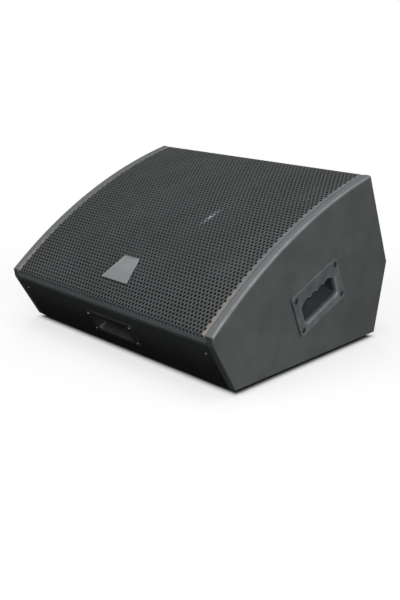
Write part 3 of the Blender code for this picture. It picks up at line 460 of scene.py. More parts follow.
def place_piece(name, mesh, body, replaced):
    """An object for the mesh, which rides on its body and takes the place of the nodes named."""
    piece = bpy.data.objects.new(name, mesh)
    bpy.context.scene.collection.objects.link(piece)
    if body:
        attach(piece, body)
    if replaced:
        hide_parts(*replaced)
    return piece


def add_piece(name, shape, finish, body=CABINET, replaced=(), sharp=35.0):
    """A finished piece, smooth except across edges sharper than the given angle, riding on its body."""
    mesh = bpy.data.meshes.new(name)
    shape.to_mesh(mesh)
    shape.free()
    mesh.materials.append(finish)
    mesh.shade_smooth()
    mesh.set_sharp_from_angle(angle=math.radians(sharp))
    return place_piece(name, mesh, body, replaced)


def prism(outline, low, high):
    shape = bmesh.new()
    lower = [shape.verts.new((x, y, low)) for x, y in outline]
    upper = [shape.verts.new((x, y, high)) for x, y in outline]
    shape.faces.new(lower)
    shape.faces.new(upper)
    for i in range(len(outline)):
        j = (i + 1) % len(outline)
        shape.faces.new((lower[i], lower[j], upper[j], upper[i]))
    return shape


def loft(rings, closed=False):
    """A skin through rings of equally many points, capped or closed back onto its first ring."""
    shape = bmesh.new()
    rows = [[shape.verts.new(point) for point in ring] for ring in rings]
    count = len(rows[0])
    pairs = list(zip(rows, rows[1:] + rows[:1]))
    for lower, upper in pairs if closed else pairs[:-1]:
        for i in range(count):
            j = (i + 1) % count
            shape.faces.new((lower[i], lower[j], upper[j], upper[i]))
    if not closed:
        shape.faces.new(rows[0])
        shape.faces.new(rows[-1])
    return shape


def turned(profile, steps=64, closed=True):
    rings = []
    for radius, height in profile:
        angles = [math.tau * i / steps for i in range(steps)]
        rings.append([(radius * math.cos(a), radius * math.sin(a), height) for a in angles])
    return loft(rings, closed)


def fillet(start, corner, end, radius, steps=5):
    """Points round a corner of a profile, from its first side onto its second."""
    start, corner, end = Vector(start), Vector(corner), Vector(end)
    before = (start - corner).normalized()
    after = (end - corner).normalized()
    half = before.angle(after) / 2
    reach = radius / math.tan(half)
    middle = corner + (before + after).normalized() * radius / math.sin(half)
    first = corner + before * reach - middle
    last = corner + after * reach - middle
    points = []
    for i in range(steps + 1):
        share = i / steps
        arm = first.lerp(last, share)
        points.append(tuple(middle + arm.normalized() * radius))
    return points


def rounded_profile(points, radius, steps=4):
    """A closed profile whose corners are all eased by the radius."""
    eased = []
    for i, corner in enumerate(points):
        eased += fillet(points[i - 1], corner, points[(i + 1) % len(points)], radius, steps)
    return eased


def rounded_rectangle(width, height, radius, steps=6):
    points = []
    for quarter, (side_x, side_y) in enumerate(((1, 1), (-1, 1), (-1, -1), (1, -1))):
        middle = Vector((side_x * (width / 2 - radius), side_y * (height / 2 - radius)))
        for i in range(steps + 1):
            angle = math.pi / 2 * (quarter + i / steps)
            points.append(middle + radius * Vector((math.cos(angle), math.sin(angle))))
    return points


def at_height(outline, height):
    return [(x, y, height) for x, y in outline]


def apply_modifiers(piece):
    """The piece's mesh as its modifiers leave it."""
    graph = bpy.context.evaluated_depsgraph_get()
    mesh = bpy.data.meshes.new_from_object(piece.evaluated_get(graph))
    piece.modifiers.clear()
    piece.data = mesh


def carve(piece, *shapes):
    """The piece with each shape cut out of it."""
    cutters = []
    for shape in shapes:
        mesh = bpy.data.meshes.new("cutter")
        shape.to_mesh(mesh)
        shape.free()
        cutter = bpy.data.objects.new("cutter", mesh)
        bpy.context.scene.collection.objects.link(cutter)
        step = piece.modifiers.new("cut", "BOOLEAN")
        step.operation = "DIFFERENCE"
        step.solver = "EXACT"
        step.object = cutter
        cutters.append(cutter)
    bpy.context.view_layer.update()
    apply_modifiers(piece)
    for cutter in cutters:
        bpy.data.objects.remove(cutter, do_unlink=True)
    piece.data.shade_smooth()
    piece.data.set_sharp_from_angle(angle=math.radians(35))


def four_corners(spacing):
    return [(sx * spacing[0] / 2, sy * spacing[1] / 2) for sx in (-1, 1) for sy in (-1, 1)]


# ---------------------------------------------------------------- side boards

CROWN_STEPS = 72
CROWN_ROUND = 0.0065
EDGE_ROUND = 0.0025
HANDLE_CUTOUT = (0.125, 0.083)
HANDLE_CENTRE = Vector((0.2505, 0.1375)) + TO_CENTRE
HANDLE_TILT = math.radians(22.5)


def handle_matrix(side):
    """Local X along the handle, Y up across it, Z out of the side. The left one is the mirror image."""
    turn = section_matrix() @ Matrix.Rotation(HANDLE_TILT, 4, "Z")
    place = Matrix.Translation((WIDTH / 2, HANDLE_CENTRE.x, HANDLE_CENTRE.y))
    return Matrix.Diagonal((side, 1, 1, 1)) @ place @ turn


def make_side_board(name, side):
    """A plywood side with its crowned edge rounded over and the other edges eased."""
    alongs = [DECK_HALF * (1 - 2 * i / CROWN_STEPS) for i in range(CROWN_STEPS + 1)]
    arc = [from_deck(along, crown(along)) for along in alongs]
    outline = [FRONT_BOTTOM, REAR_BOTTOM, REAR_KNEE, *arc, NOSE_BOTTOM]
    shape = prism(outline, WIDTH / 2 - SIDE_THICKNESS, WIDTH / 2)
    weights = shape.edges.layers.float.new("bevel_weight_edge")
    shape.verts.ensure_lookup_table()
    count = len(outline)
    for i in range(count):
        j = (i + 1) % count
        on_crown = 3 <= i < 3 + CROWN_STEPS
        outer = shape.edges.get((shape.verts[count + i], shape.verts[count + j]))
        outer[weights] = 1.0 if on_crown else EDGE_ROUND / CROWN_ROUND
        inner = shape.edges.get((shape.verts[i], shape.verts[j]))
        inner[weights] = 0.08
    turn_out(Matrix.Diagonal((side, 1, 1, 1)) @ section_matrix(), shape)
    board = add_piece(name, shape, side_paint, replaced=(name.replace("board", "panel"),))
    rounding = board.modifiers.new("rounded_edges", "BEVEL")
    rounding.limit_method = "WEIGHT"
    rounding.width = CROWN_ROUND
    rounding.segments = 6
    rounding.harden_normals = True
    mouth = prism(rounded_rectangle(*HANDLE_CUTOUT, 0.004, 2), -0.05, 0.05)
    carve(board, turn_out(handle_matrix(side), mouth))
    weigh = board.modifiers.new("face_normals", "WEIGHTED_NORMAL")
    weigh.keep_sharp = True
    weigh.weight = 100
    bpy.context.view_layer.update()
    apply_modifiers(board)


# ---------------------------------------------------------------- perforated sheet

SHEET_HALF = 0.3160
SHEET_THICKNESS = 0.0015
HOLE_PITCH = 0.0100
ROW_PITCH = HOLE_PITCH * math.sqrt(3) / 2
HOLE_RADIUS = 0.0035
FIRST_ROW = 0.0050
LOWER_FOLD = 0.017
UPPER_FOLD = 0.015
LAST_ROW = 63
FOLD_SOFTNESS = 0.0045
PATH_STEP = 0.00025
ARC_STEPS = 400


def sheet_path():
    """Distance up the sheet from its lower fold, points on its outer face, and the way that it faces."""
    nose_down = (NOSE_BOTTOM - NOSE_TOP).normalized()
    back_down = (REAR_KNEE - REAR_TOP).normalized()
    corners = [NOSE_TOP + nose_down * (LOWER_FOLD + FOLD_SOFTNESS)]
    for i in range(ARC_STEPS + 1):
        along = DECK_HALF * (2 * i / ARC_STEPS - 1)
        corners.append(from_deck(along, crown(along)))
    corners.append(REAR_TOP + back_down * (UPPER_FOLD + FOLD_SOFTNESS))
    points = np.array([tuple(corner) for corner in corners])
    lengths = np.concatenate([[0], np.cumsum(np.linalg.norm(np.diff(points, axis=0), axis=1))])
    reach = np.arange(0, lengths[-1], PATH_STEP)
    line = np.stack([np.interp(reach, lengths, points[:, k]) for k in (0, 1)], axis=1)
    window = int(FOLD_SOFTNESS / PATH_STEP) | 1
    kernel = np.ones(window) / window
    padded = np.pad(line, ((window // 2, window // 2), (0, 0)), mode="edge")
    smooth = np.stack([np.convolve(padded[:, k], kernel, "valid") for k in (0, 1)], axis=1)
    run = np.gradient(smooth, axis=0)
    run /= np.linalg.norm(run, axis=1)[:, None]
    facing = np.stack([-run[:, 1], run[:, 0]], axis=1)
    return reach - lengths[1], smooth, facing


def perforated_faces():
    """Faces of the flat sheet, as rings of (across, up) points. Each hole has an oblong cell round it."""
    faces = []
    half, rise = HOLE_PITCH / 2, ROW_PITCH / 2
    rim = [(1, 0), (1, 1), (0, 1), (-1, 1), (-1, 0), (-1, -1), (0, -1), (1, -1)]
    hole = [(math.cos(math.tau * i / 8), math.sin(math.tau * i / 8)) for i in range(8)]
    for row in range(-1, LAST_ROW + 1):
        up = FIRST_ROW + ROW_PITCH * row
        wide = row % 2
        last = 30 * HOLE_PITCH + half * wide
        count = 61 + wide
        for i in range(count):
            x = -last + i * HOLE_PITCH
            outer = [(x + a * half, up + b * rise) for a, b in rim]
            inner = [(x + a * HOLE_RADIUS, up + b * HOLE_RADIUS) for a, b in hole]
            for j in range(8):
                k = (j + 1) % 8
                faces.append([outer[j], outer[k], inner[k], inner[j]])
        for side in (-1, 1):
            end = side * (last + half)
            stops = [end] if wide else [end, end + side * half]
            edge = side * SHEET_HALF
            lower = [(x, up - rise) for x in [*stops, edge]]
            upper = [(x, up + rise) for x in [edge, *reversed(stops)]]
            ring = [*lower, (edge, up), *upper, (end, up)]
            faces.append(ring if side > 0 else ring[::-1])
    columns = [-SHEET_HALF, *(i * half for i in range(-62, 63)), SHEET_HALF]
    first = FIRST_ROW - ROW_PITCH - rise
    last = FIRST_ROW + ROW_PITCH * LAST_ROW + rise
    strips = [[-LOWER_FOLD, first], [last, last + 0.0012, last + 0.0026, CROWN_LENGTH + UPPER_FOLD]]
    for lines in strips:
        for low, high in zip(lines, lines[1:]):
            for left, right in zip(columns, columns[1:]):
                faces.append([(left, low), (right, low), (right, high), (left, high)])
    return faces


def make_grille():
    """The sheet with its real holes, bent over the crown and folded at both ends."""
    reach, line, facing = sheet_path()
    index, flat, outer = {}, [], []
    for face in perforated_faces():
        ring = []
        for across, up in face:
            key = (round(across * 1e6), round(up * 1e6))
            if key not in index:
                index[key] = len(flat)
                flat.append((across, up))
            if not ring or ring[-1] != index[key]:
                ring.append(index[key])
        outer.append(ring)
    flat = np.array(flat)
    count = len(flat)
    place = [np.interp(flat[:, 1], reach, line[:, k]) for k in (0, 1)]
    out = [np.interp(flat[:, 1], reach, facing[:, k]) for k in (0, 1)]
    front = np.stack([flat[:, 0], *place], axis=1)
    back = np.stack([flat[:, 0], *(p - SHEET_THICKNESS * n for p, n in zip(place, out))], axis=1)
    directed = {(a, b) for ring in outer for a, b in zip(ring, ring[1:] + ring[:1])}
    walls = [(b, a, a + count, b + count) for a, b in directed if (b, a) not in directed]
    walls.sort()
    inner = [[i + count for i in reversed(ring)] for ring in outer]
    mesh = bpy.data.meshes.new("grille_perforated")
    mesh.from_pydata(np.concatenate([front, back]).tolist(), [], [*outer, *inner, *walls])
    mesh.materials.append(sheet_coat)
    mesh.shade_smooth()
    mesh.set_sharp_from_angle(angle=math.radians(40))
    place_piece("grille_perforated", mesh, CABINET, ("grille_sheet",))


BADGE_SIZE = (0.0480, 0.0850, 0.0680)
BADGE_THICKNESS = 0.0025
BADGE_ABOVE_NOSE = 0.0825


def make_badge():
    """A blank trapezoid plate with softened edges and a shallow raised rim."""
    top, bottom, height = BADGE_SIZE
    along = BADGE_ABOVE_NOSE - DECK_HALF
    tilt = DECK_TILT - math.asin(along / CROWN_RADIUS)
    matrix = tilted(0.0, from_deck(along, crown(along)), tilt)
    low, high = -height / 2, height / 2
    corners = [(-bottom / 2, low), (bottom / 2, low), (top / 2, high), (-top / 2, high)]

    def outline(inset):
        scale_x = 1 - 2 * inset / ((top + bottom) / 2)
        scale_y = 1 - 2 * inset / height
        shrunk = [(x * scale_x, y * scale_y) for x, y in corners]
        return rounded_profile(shrunk, 0.0035 - inset * 0.6, 5)

    full = BADGE_THICKNESS
    levels = [(0.0, GAP), (0.0, full - 0.0005), (0.0002, full - 0.00015), (0.0006, full)]
    levels += [(0.0022, full), (0.0025, full - 0.0003)]
    rings = [at_height(outline(inset), GAP + z) for inset, z in levels]
    plate = turn_out(matrix, loft(rings))
    add_piece("badge_blank", plate, badge_metal, replaced=("badge_plate",), sharp=30)


# ---------------------------------------------------------------- screws

SCREW_HEAD = 0.0042
SCREW_RISE = 0.0024
SCREW_SHANK = 0.0019
SCREW_LENGTH = 0.016


def screw_mesh():
    """A pan-head screw with a cross recess, made once and shared."""
    dome = [(SCREW_HEAD, GAP), (SCREW_HEAD, 0.0006)]
    for i in range(1, 7):
        angle = math.pi / 2 * i / 7
        dome.append((SCREW_HEAD * math.cos(angle) ** 0.7, 0.0006 + (SCREW_RISE - 0.0006) * math.sin(angle)))
    dome.append((0.0003, SCREW_RISE))
    shaft = [(0.0004, -SCREW_LENGTH), (SCREW_SHANK, -SCREW_LENGTH + 0.003), (SCREW_SHANK, GAP)]
    solid = turn_out(Matrix.Identity(4), turned(shaft + dome, 28, False))
    screw = add_piece("screw_master", solid, bright_screw, None)
    arms = []
    for turn in (0, math.pi / 2):
        rings = []
        for z, reach, half in ((0.0010, 0.0012, 0.0003), (0.0040, 0.0030, 0.0007)):
            rings.append([(reach, half, z), (-reach, half, z), (-reach, -half, z), (reach, -half, z)])
        arms.append(turn_out(Matrix.Rotation(turn, 4, "Z"), loft(rings)))
    carve(screw, *arms)
    mesh = screw.data.copy()
    bpy.data.objects.remove(screw, do_unlink=True)
    return mesh


def add_screw(name, master, matrix, finish, replaced=(), body=CABINET, scale=1.0):
    mesh = master.copy()
    mesh.materials.clear()
    mesh.materials.append(finish)
    mesh.transform(matrix @ Matrix.Scale(scale, 4))
    if matrix.determinant() < 0:
        mesh.flip_normals()
    place_piece(name, mesh, body, replaced)


# ---------------------------------------------------------------- handles

HANDLE_LIP = 0.006
HANDLE_BAR_BACK = -0.006
HANDLE_DEPTH = 0.054
HANDLE_SCREWS = (0.138, 0.0755)
HANDLE_FLANGE = (0.160, 0.103)
FLANGE_CORNER = 0.010
FLANGE_ROUND = 0.0014
MOUTH_HALF = 0.0574
MOUTH_LOW = -0.030
MOUTH_HIGH = 0.0155
MOUTH_CORNER = 0.009
MOUTH_ROUND = 0.0048
FINGER_RISE = 0.0052
FLOOR_RISE = 0.020
POCKET_WALL = 0.003
CORNER_STEPS = 6
SCALLOP_STEPS = 48
SEAT_PROFILE = [
    (0.0044, 0.0), (0.0062, 0.0), (0.0062, 0.0004), (0.0056, 0.0007), (0.0049, 0.0004), (0.0044, 0.0002),
]


def slot_outline(half, low, high, corner, finger=0.0):
    """A long rounded opening. Its upper edge can hold four finger scallops of the given height."""
    inner = half - corner

    def round_corner(x, y, quarter):
        angles = [math.pi / 2 * (quarter + i / CORNER_STEPS) for i in range(CORNER_STEPS + 1)]
        return [Vector((x + corner * math.cos(angle), y + corner * math.sin(angle))) for angle in angles]

    rises = [low + corner + (high - low - 2 * corner) * i / 6 for i in range(1, 6)]
    points = [Vector((-inner + 2 * inner * i / 18, low)) for i in range(1, 18)]
    points += round_corner(inner, low + corner, -1)
    points += [Vector((half, rise)) for rise in rises]
    points += round_corner(inner, high - corner, 0)
    for i in range(1, SCALLOP_STEPS):
        x = inner - 2 * inner * i / SCALLOP_STEPS
        phase = abs(math.sin(4 * math.pi * (x + inner) / (2 * inner)))
        points.append(Vector((x, high + finger * phase**0.8)))
    points += round_corner(-inner, high - corner, 1)
    points += [Vector((-half, rise)) for rise in reversed(rises)]
    points += round_corner(-inner, low + corner, 2)
    return points


def make_handle(name, side, master):
    """Raised frame, rounded mouth with finger scallops, and a pocket whose floor slopes up as it goes in."""
    lip = HANDLE_LIP
    flange_half, flange_high = HANDLE_FLANGE[0] / 2, HANDLE_FLANGE[1] / 2

    def frame_ring(inset, z):
        high = flange_high - inset
        return at_height(slot_outline(flange_half - inset, -high, high, FLANGE_CORNER - inset), z)

    def mouth_ring(outset, z):
        low, high = MOUTH_LOW - outset, MOUTH_HIGH + outset
        return at_height(slot_outline(MOUTH_HALF + outset, low, high, MOUTH_CORNER + outset, FINGER_RISE), z)

    def floor_at(z):
        sunk = max(0.0, HANDLE_BAR_BACK - z) / (HANDLE_DEPTH + HANDLE_BAR_BACK)
        return MOUTH_LOW + FLOOR_RISE * min(sunk, 1.0)

    def pocket_ring(z, inset=0.0):
        return at_height(slot_outline(MOUTH_HALF - inset, floor_at(z) + inset, 0.036 - inset, 0.008), z)

    def shell_ring(z, inset=0.0):
        half, low = MOUTH_HALF + POCKET_WALL - inset, floor_at(z) - POCKET_WALL + inset
        return at_height(slot_outline(half, low, 0.0395 - inset, 0.009), z)

    rings = [shell_ring(-0.057, 0.004), shell_ring(-0.0555, 0.001), shell_ring(-0.053), shell_ring(-0.006)]
    rings += [shell_ring(GAP), frame_ring(0.0, GAP)]
    for i in range(5):
        angle = math.pi / 2 * i / 4
        inset = FLANGE_ROUND * (1 - math.cos(angle))
        rings.append(frame_ring(inset, lip - FLANGE_ROUND + FLANGE_ROUND * math.sin(angle)))
    rings += [frame_ring(0.0042, lip), frame_ring(0.0056, lip - 0.0006)]
    rings.append(mouth_ring(0.0050, lip - 0.0006))
    roll_start = len(rings)
    for i in range(1, 9):
        angle = math.pi / 2 * i / 8
        outset = MOUTH_ROUND * (1 - math.sin(angle))
        rings.append(mouth_ring(outset, lip - 0.0008 - MOUTH_ROUND * (1 - math.cos(angle))))
    rings += [mouth_ring(0.0, -0.003), mouth_ring(0.0, HANDLE_BAR_BACK + 0.0006)]
    pocket_start = len(rings) - 1
    rings += [pocket_ring(HANDLE_BAR_BACK), pocket_ring(-0.020), pocket_ring(-0.036), pocket_ring(-0.049)]
    rings += [pocket_ring(-0.0525, 0.0012), pocket_ring(-0.054, 0.004)]
    shape = turn_out(handle_matrix(side), loft(rings))
    # The mouth roll takes the paler plastic (wear and painted highlight) and the pocket the darker copy (painted
    # shade).
    for i, face in enumerate(shape.faces):
        band = i // len(rings[0])
        face.material_index = 2 if band >= pocket_start else int(band >= roll_start - 1)
    piece = add_piece(name + "_moulding", shape, handle_plastic, replaced=(name,), sharp=38)
    piece.data.materials.append(rubbed_highlit_plastic)
    piece.data.materials.append(shaded_pocket_plastic)
    for i, (x, y) in enumerate(four_corners(HANDLE_SCREWS)):
        seat = handle_matrix(side) @ Matrix.Translation((x, y, lip - 0.0008))
        head = seat @ Matrix.Translation((0, 0, -0.0010)) @ Matrix.Rotation(0.4 * i, 4, "Z")
        add_screw(f"{name}_fixing_{i + 1}", master, head, black_screw, replaced=(f"{name}_screw_{i + 1}",))
        cup = turn_out(seat, turned(SEAT_PROFILE, 32))
        add_piece(f"{name}_screw_seat_{i + 1}", cup, black_screw)


# ---------------------------------------------------------------- connector dish

DISH_ABOVE_BOTTOM = 0.063
DISH_PLACE = FRONT_BOTTOM + FRONT_UP * DISH_ABOVE_BOTTOM
DISH_FLANGE = (0.157, 0.067)
DISH_LIP = 0.003
DISH_POCKET = (0.118, 0.044)
DISH_FLOOR = -0.020
DISH_SCREWS = (0.1400, 0.0470)
DISH_CORNER = 0.006
DISH_ROUND = 0.0012
SOCKET_SPACING = 0.057
SOCKET_BORE = 0.0122


def make_dish(master):
    """A moulded dish let into the front, with two round four-pole sockets on its floor."""
    matrix = tilted(0.0, DISH_PLACE, math.pi / 2 + FRONT_LEAN)

    def flange(inset, z):
        sides = [side - 2 * inset for side in DISH_FLANGE]
        return at_height(rounded_rectangle(*sides, DISH_CORNER - inset), z)

    def pocket(inset, z):
        sides = [side - 2 * inset for side in DISH_POCKET]
        return at_height(rounded_rectangle(*sides, DISH_CORNER), z)

    rings = [pocket(0.000, DISH_FLOOR - 0.003), pocket(-0.0028, DISH_FLOOR), pocket(-0.0028, GAP), flange(0.0, GAP)]
    for i in range(5):
        angle = math.pi / 2 * i / 4
        rings.append(flange(DISH_ROUND * (1 - math.cos(angle)), DISH_LIP - DISH_ROUND * (1 - math.sin(angle))))
    for i in range(6):
        angle = math.pi / 2 * i / 5
        rings.append(pocket(-0.002 * (1 - math.sin(angle)), DISH_LIP - 0.002 * (1 - math.cos(angle))))
    rings += [pocket(0.0036, DISH_FLOOR + 0.002), pocket(0.0042, DISH_FLOOR + 0.0006), pocket(0.0056, DISH_FLOOR)]
    dish = add_piece(
        "connector_dish_moulding", turn_out(matrix, loft(rings)), dish_plastic,
        replaced=("connector_dish",),
    )
    bores = []
    for side in (-1, 1):
        bar = turned([(SOCKET_BORE, DISH_FLOOR - 0.01), (SOCKET_BORE, DISH_FLOOR + 0.01)], 48, False)
        bores.append(turn_out(matrix @ Matrix.Translation((side * SOCKET_SPACING / 2, 0, 0)), bar))
    carve(dish, *bores)
    for name, side in (("left", -1), ("right", 1)):
        make_socket(name, matrix @ Matrix.Translation((side * SOCKET_SPACING / 2, 0, DISH_FLOOR + GAP)))
    for i, (x, y) in enumerate(four_corners(DISH_SCREWS)):
        place = matrix @ Matrix.Translation((x, y, DISH_LIP)) @ Matrix.Rotation(0.5 + 0.6 * i, 4, "Z")
        add_screw(f"dish_fixing_{i + 1}", master, place, bright_screw, replaced=(f"dish_screw_{i + 1}",))


def make_socket(name, matrix):
    """Collar, ring-shaped bore with a slotted core, and four contact tabs behind."""
    body = SOCKET_BORE - GAP
    profile = [(0.0015, 0.0008), (0.0046, 0.0008), (0.0050, 0.0004), (0.0050, -0.0150), (0.0096, -0.0150)]
    profile += [(0.0096, 0.0026), (0.0101, 0.0031), (0.0150, 0.0031), (0.0155, 0.0026), (0.0155, 0.0)]
    profile += [(body, 0.0), (body, -0.0270), (0.0015, -0.0270)]
    piece = add_piece(
        f"socket_{name}_body", turn_out(matrix, turned(profile, 56, False)), socket_plastic,
        replaced=(f"speaker_socket_{name}",),
    )
    keys = []
    for i in range(2):
        key = prism([(0.0090, -0.0016), (0.0118, -0.0016), (0.0118, 0.0016), (0.0090, 0.0016)], -0.012, 0.006)
        keys.append(turn_out(matrix @ Matrix.Rotation(math.pi * i + math.pi / 2, 4, "Z"), key))
    carve(piece, *keys)
    for i in range(4):
        tab = prism(rounded_rectangle(0.0040, 0.0008, 0.0003, 2), -0.0330, -0.0268)
        arm = Matrix.Rotation(math.pi / 2 * i, 4, "Z") @ Matrix.Translation((0.0, 0.0075, 0.0))
        add_piece(f"socket_{name}_tab_{i + 1}", turn_out(matrix @ arm, tab), contact_metal)


# ---------------------------------------------------------------- feet

FOOT_RADIUS = 0.019
FOOT_X = 0.270
FOOT_INSET = 0.036


def make_feet(master):
    """Turned rubber feet, each with its screw up inside the hollow."""
    top = FOOT_HEIGHT - GAP
    corners = [(0.0065, 0.0), (0.0166, 0.0), (0.0182, 0.0022), (FOOT_RADIUS, top), (0.0025, top), (0.0025, 0.0065)]
    profile = rounded_profile([*corners, (0.0065, 0.0045)], 0.0005, 3)
    rows = {"front": FRONT_BOTTOM.x + FOOT_INSET, "rear": REAR_BOTTOM.x - FOOT_INSET}
    for row, y in rows.items():
        for side, x in (("left", -FOOT_X), ("right", FOOT_X)):
            place = Matrix.Translation((x, y, 0.0))
            node = f"foot_{row}_{side}"
            add_piece(node + "_rubber", turn_out(place, turned(profile, 48)), foot_rubber,
                      replaced=(node,))
            upward = place @ Matrix.Translation((0, 0, 0.0062)) @ Matrix.Rotation(math.pi, 4, "X")
            add_screw(node + "_fixing", master, upward, bright_screw)


# ---------------------------------------------------------------- drivers behind the sheet

WOOFER_X = 0.097
CONE_NECK = (0.0388, -0.084)
CONE_RIM = (0.150, -0.009)
DUST_CAP_RADIUS = 0.052
DUST_CAP_RISE = 0.018
HORN_X = -0.208
BAFFLE_PLACE = from_deck(0.0, -BAFFLE_DROP)
FLEX_SECTORS = 24


def cone_height(radius):
    share = (radius - CONE_NECK[0]) / (CONE_RIM[0] - CONE_NECK[0])
    return CONE_NECK[1] + (CONE_RIM[1] - CONE_NECK[1]) * share**0.85


def skin(line, thickness):
    return [*line, *((radius, height - thickness) for radius, height in reversed(line))]


def make_cone(matrix):
    """The pulp cone, with pressed ribs round it, and its domed dust cap."""
    steps = 36
    line = []
    for i in range(steps + 1):
        radius = CONE_NECK[0] + (CONE_RIM[0] - CONE_NECK[0]) * (i / steps) ** 1.1
        rib = 0.0006 * math.sin((radius - 0.085) / 0.0024) ** 2 if 0.085 < radius < 0.130 else 0.0
        line.append((radius, cone_height(radius) + rib))
    add_piece("cone_pulp_body", turn_out(matrix, turned(skin(line, 0.0014), 96)), cone_pulp,
              CONE_BODY, ("woofer_cone",))
    rim = cone_height(DUST_CAP_RADIUS) + GAP + 0.0014
    dome = []
    for i in range(14):
        angle = math.pi / 2 * i / 14
        dome.append((DUST_CAP_RADIUS * math.cos(angle), rim + DUST_CAP_RISE * math.sin(angle)))
    dome.append((0.0006, rim + DUST_CAP_RISE))
    under = [(max(radius - 0.0012, 0.0004), height - 0.0012) for radius, height in reversed(dome)]
    under[-1] = (DUST_CAP_RADIUS - 0.0016, rim)
    add_piece("dust_cap_dome", turn_out(matrix, turned(under + dome, 72, False)), cap_cloth,
              CONE_BODY, ("woofer_dust_cap",))


def add_sectors(name, matrix, profile, finish, node):
    """A ring made in sectors, between its outer and inner edges."""
    steps = 5
    for sector in range(FLEX_SECTORS):
        shape = bmesh.new()
        rows = []
        for i in range(steps):
            angle = math.tau * (sector + i / (steps - 1)) / FLEX_SECTORS
            spot = Vector((math.cos(angle), math.sin(angle), 0.0))
            rows.append([shape.verts.new(spot * radius + Vector((0, 0, height))) for radius, height in profile])
        for before, after in zip(rows, rows[1:]):
            for i in range(len(profile)):
                j = (i + 1) % len(profile)
                shape.faces.new((before[i], before[j], after[j], after[i]))
        shape.faces.new(rows[0])
        shape.faces.new(rows[-1])
        replaced = (node,) if sector == 0 else ()
        piece = add_piece(f"{name}_{sector + 1}", turn_out(matrix, shape), finish, None, replaced)
        middle = math.tau * (sector + 0.5) / FLEX_SECTORS
        spot = Vector((math.cos(middle), math.sin(middle), 0.0))
        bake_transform(piece)


def make_suspension(matrix):
    start, end = CONE_RIM[0] + GAP, 0.1635
    roll = [(start, CONE_RIM[1])]
    bends = 14
    for i in range(1, bends):
        share = i / bends
        height = CONE_RIM[1] + 0.0022 * share + 0.0052 * abs(math.sin(2 * math.pi * share))
        roll.append((start + (end - start) * share, height))
    roll += [(end, -0.0057), (0.1730, -0.0057)]
    add_sectors("surround_sector", matrix, skin(roll, 0.0009), surround_cloth, "woofer_surround")
    waves = [(0.0390, -0.0872)]
    folds = 40
    for i in range(1, folds):
        share = i / folds
        waves.append((0.0390 + (0.088 - 0.0390) * share, -0.0872 + 0.0014 * math.sin(math.tau * 4 * share)))
    waves += [(0.0885, -0.0872), (0.0980, -0.0872)]
    add_sectors("spider_sector", matrix, skin(waves, 0.0007), spider_cloth, "woofer_spider")


def make_driver_fixings(matrix, horn_matrix, master):
    """Bolts through the bass driver's rim and the horn's flange."""
    for i in range(8):
        angle = math.tau * (i + 0.5) / 8
        spot = (0.184 * math.cos(angle), 0.184 * math.sin(angle), 0.0056)
        add_screw(f"woofer_bolt_{i + 1}", master, matrix @ Matrix.Translation(spot), black_screw, scale=1.3)
    for i, (x, y) in enumerate(four_corners((0.182, 0.250))):
        place = horn_matrix @ Matrix.Translation((x, y, 0.0041))
        add_screw(f"horn_bolt_{i + 1}", master, place, black_screw)


def make_panel_screws(master):
    """Screws through the sheet's upper fold at the back, and one near each top corner of the front panel."""
    back_down = (REAR_KNEE - REAR_TOP).normalized()
    place = REAR_TOP + back_down * UPPER_FOLD / 2
    tilt = math.atan2(back_down.y, back_down.x)
    for i, x in enumerate((-0.24, 0.0, 0.24)):
        matrix = tilted(x, place, tilt) @ Matrix.Rotation(0.3 + i, 4, "Z")
        add_screw(f"grille_fixing_{i + 1}", master, matrix, black_screw, replaced=(f"grille_screw_{i + 1}",))
    place = FRONT_BOTTOM + FRONT_UP * 0.095
    for name, x in (("left", -0.300), ("right", 0.300)):
        matrix = tilted(x, place, math.pi / 2 + FRONT_LEAN) @ Matrix.Rotation(0.7, 4, "Z")
        add_screw(f"front_fixing_{name}", master, matrix, bright_screw, scale=0.9)


# ---------------------------------------------------------------- floor, light and camera


def make_floor():
    """A pale floor that keeps the shadow near the wedge and runs out into plain white, with a painted shadow under
    the cabinet.
    """
    mesh = bpy.data.meshes.new("floor")
    mesh.from_pydata([(-30, -30, 0), (30, -30, 0), (30, 30, 0), (-30, 30, 0)], [], [(0, 1, 2, 3)])
    floor = bpy.data.objects.new("floor", mesh)
    bpy.context.scene.collection.objects.link(floor)
    paint = Paint("floor_paper", roughness=0.9, specular_ior_level=0.0)
    path = "ShaderNodeLightPath"
    seen = paint.node(path, output="Is Camera Ray").maths("MAXIMUM", paint.node(path, output="Is Transmission Ray"))
    point = paint.node("ShaderNodeNewGeometry", output="Position")
    far = paint.node("ShaderNodeVectorMath", {"operation": "LENGTH"}, [point], output="Value")
    across = paint.node("ShaderNodeSeparateXYZ", sockets=[point], output="X").maths("ABSOLUTE")
    along = paint.node("ShaderNodeSeparateXYZ", sockets=[point], output="Y")
    middle = (FRONT_BOTTOM.x + REAR_BOTTOM.x) / 2
    length = (REAR_BOTTOM.x - FRONT_BOTTOM.x) / 2
    outside = (across - WIDTH / 2).maths("MAXIMUM", (along - middle).maths("ABSOLUTE") - length)
    glow = paint.node("ShaderNodeEmission", sockets={"Color": (1.0, 1.0, 1.0), "Strength": 1.0})
    # Painted shadow: camera rays see the floor dark inside the cabinet's footprint, where the glow below also fades
    # out; other rays see it dark everywhere.
    pale_beyond_painted_shadow = outside.mapped(-0.014, 0.0) * seen
    paint.drive(base_color=paint.blend(pale_beyond_painted_shadow, (0.03, 0.03, 0.03), (0.93, 0.93, 0.93)))
    share = far.mapped(0.45, 1.15, 0.62, 1.0) * outside.mapped(-0.006, 0.012) * seen
    surface = Value(paint, paint.shader.outputs[0])
    mixed = paint.node("ShaderNodeMixShader", sockets=[share, surface, glow])
    paint.plug(paint.output.inputs["Surface"], mixed)
    mesh.materials.append(paint.material)


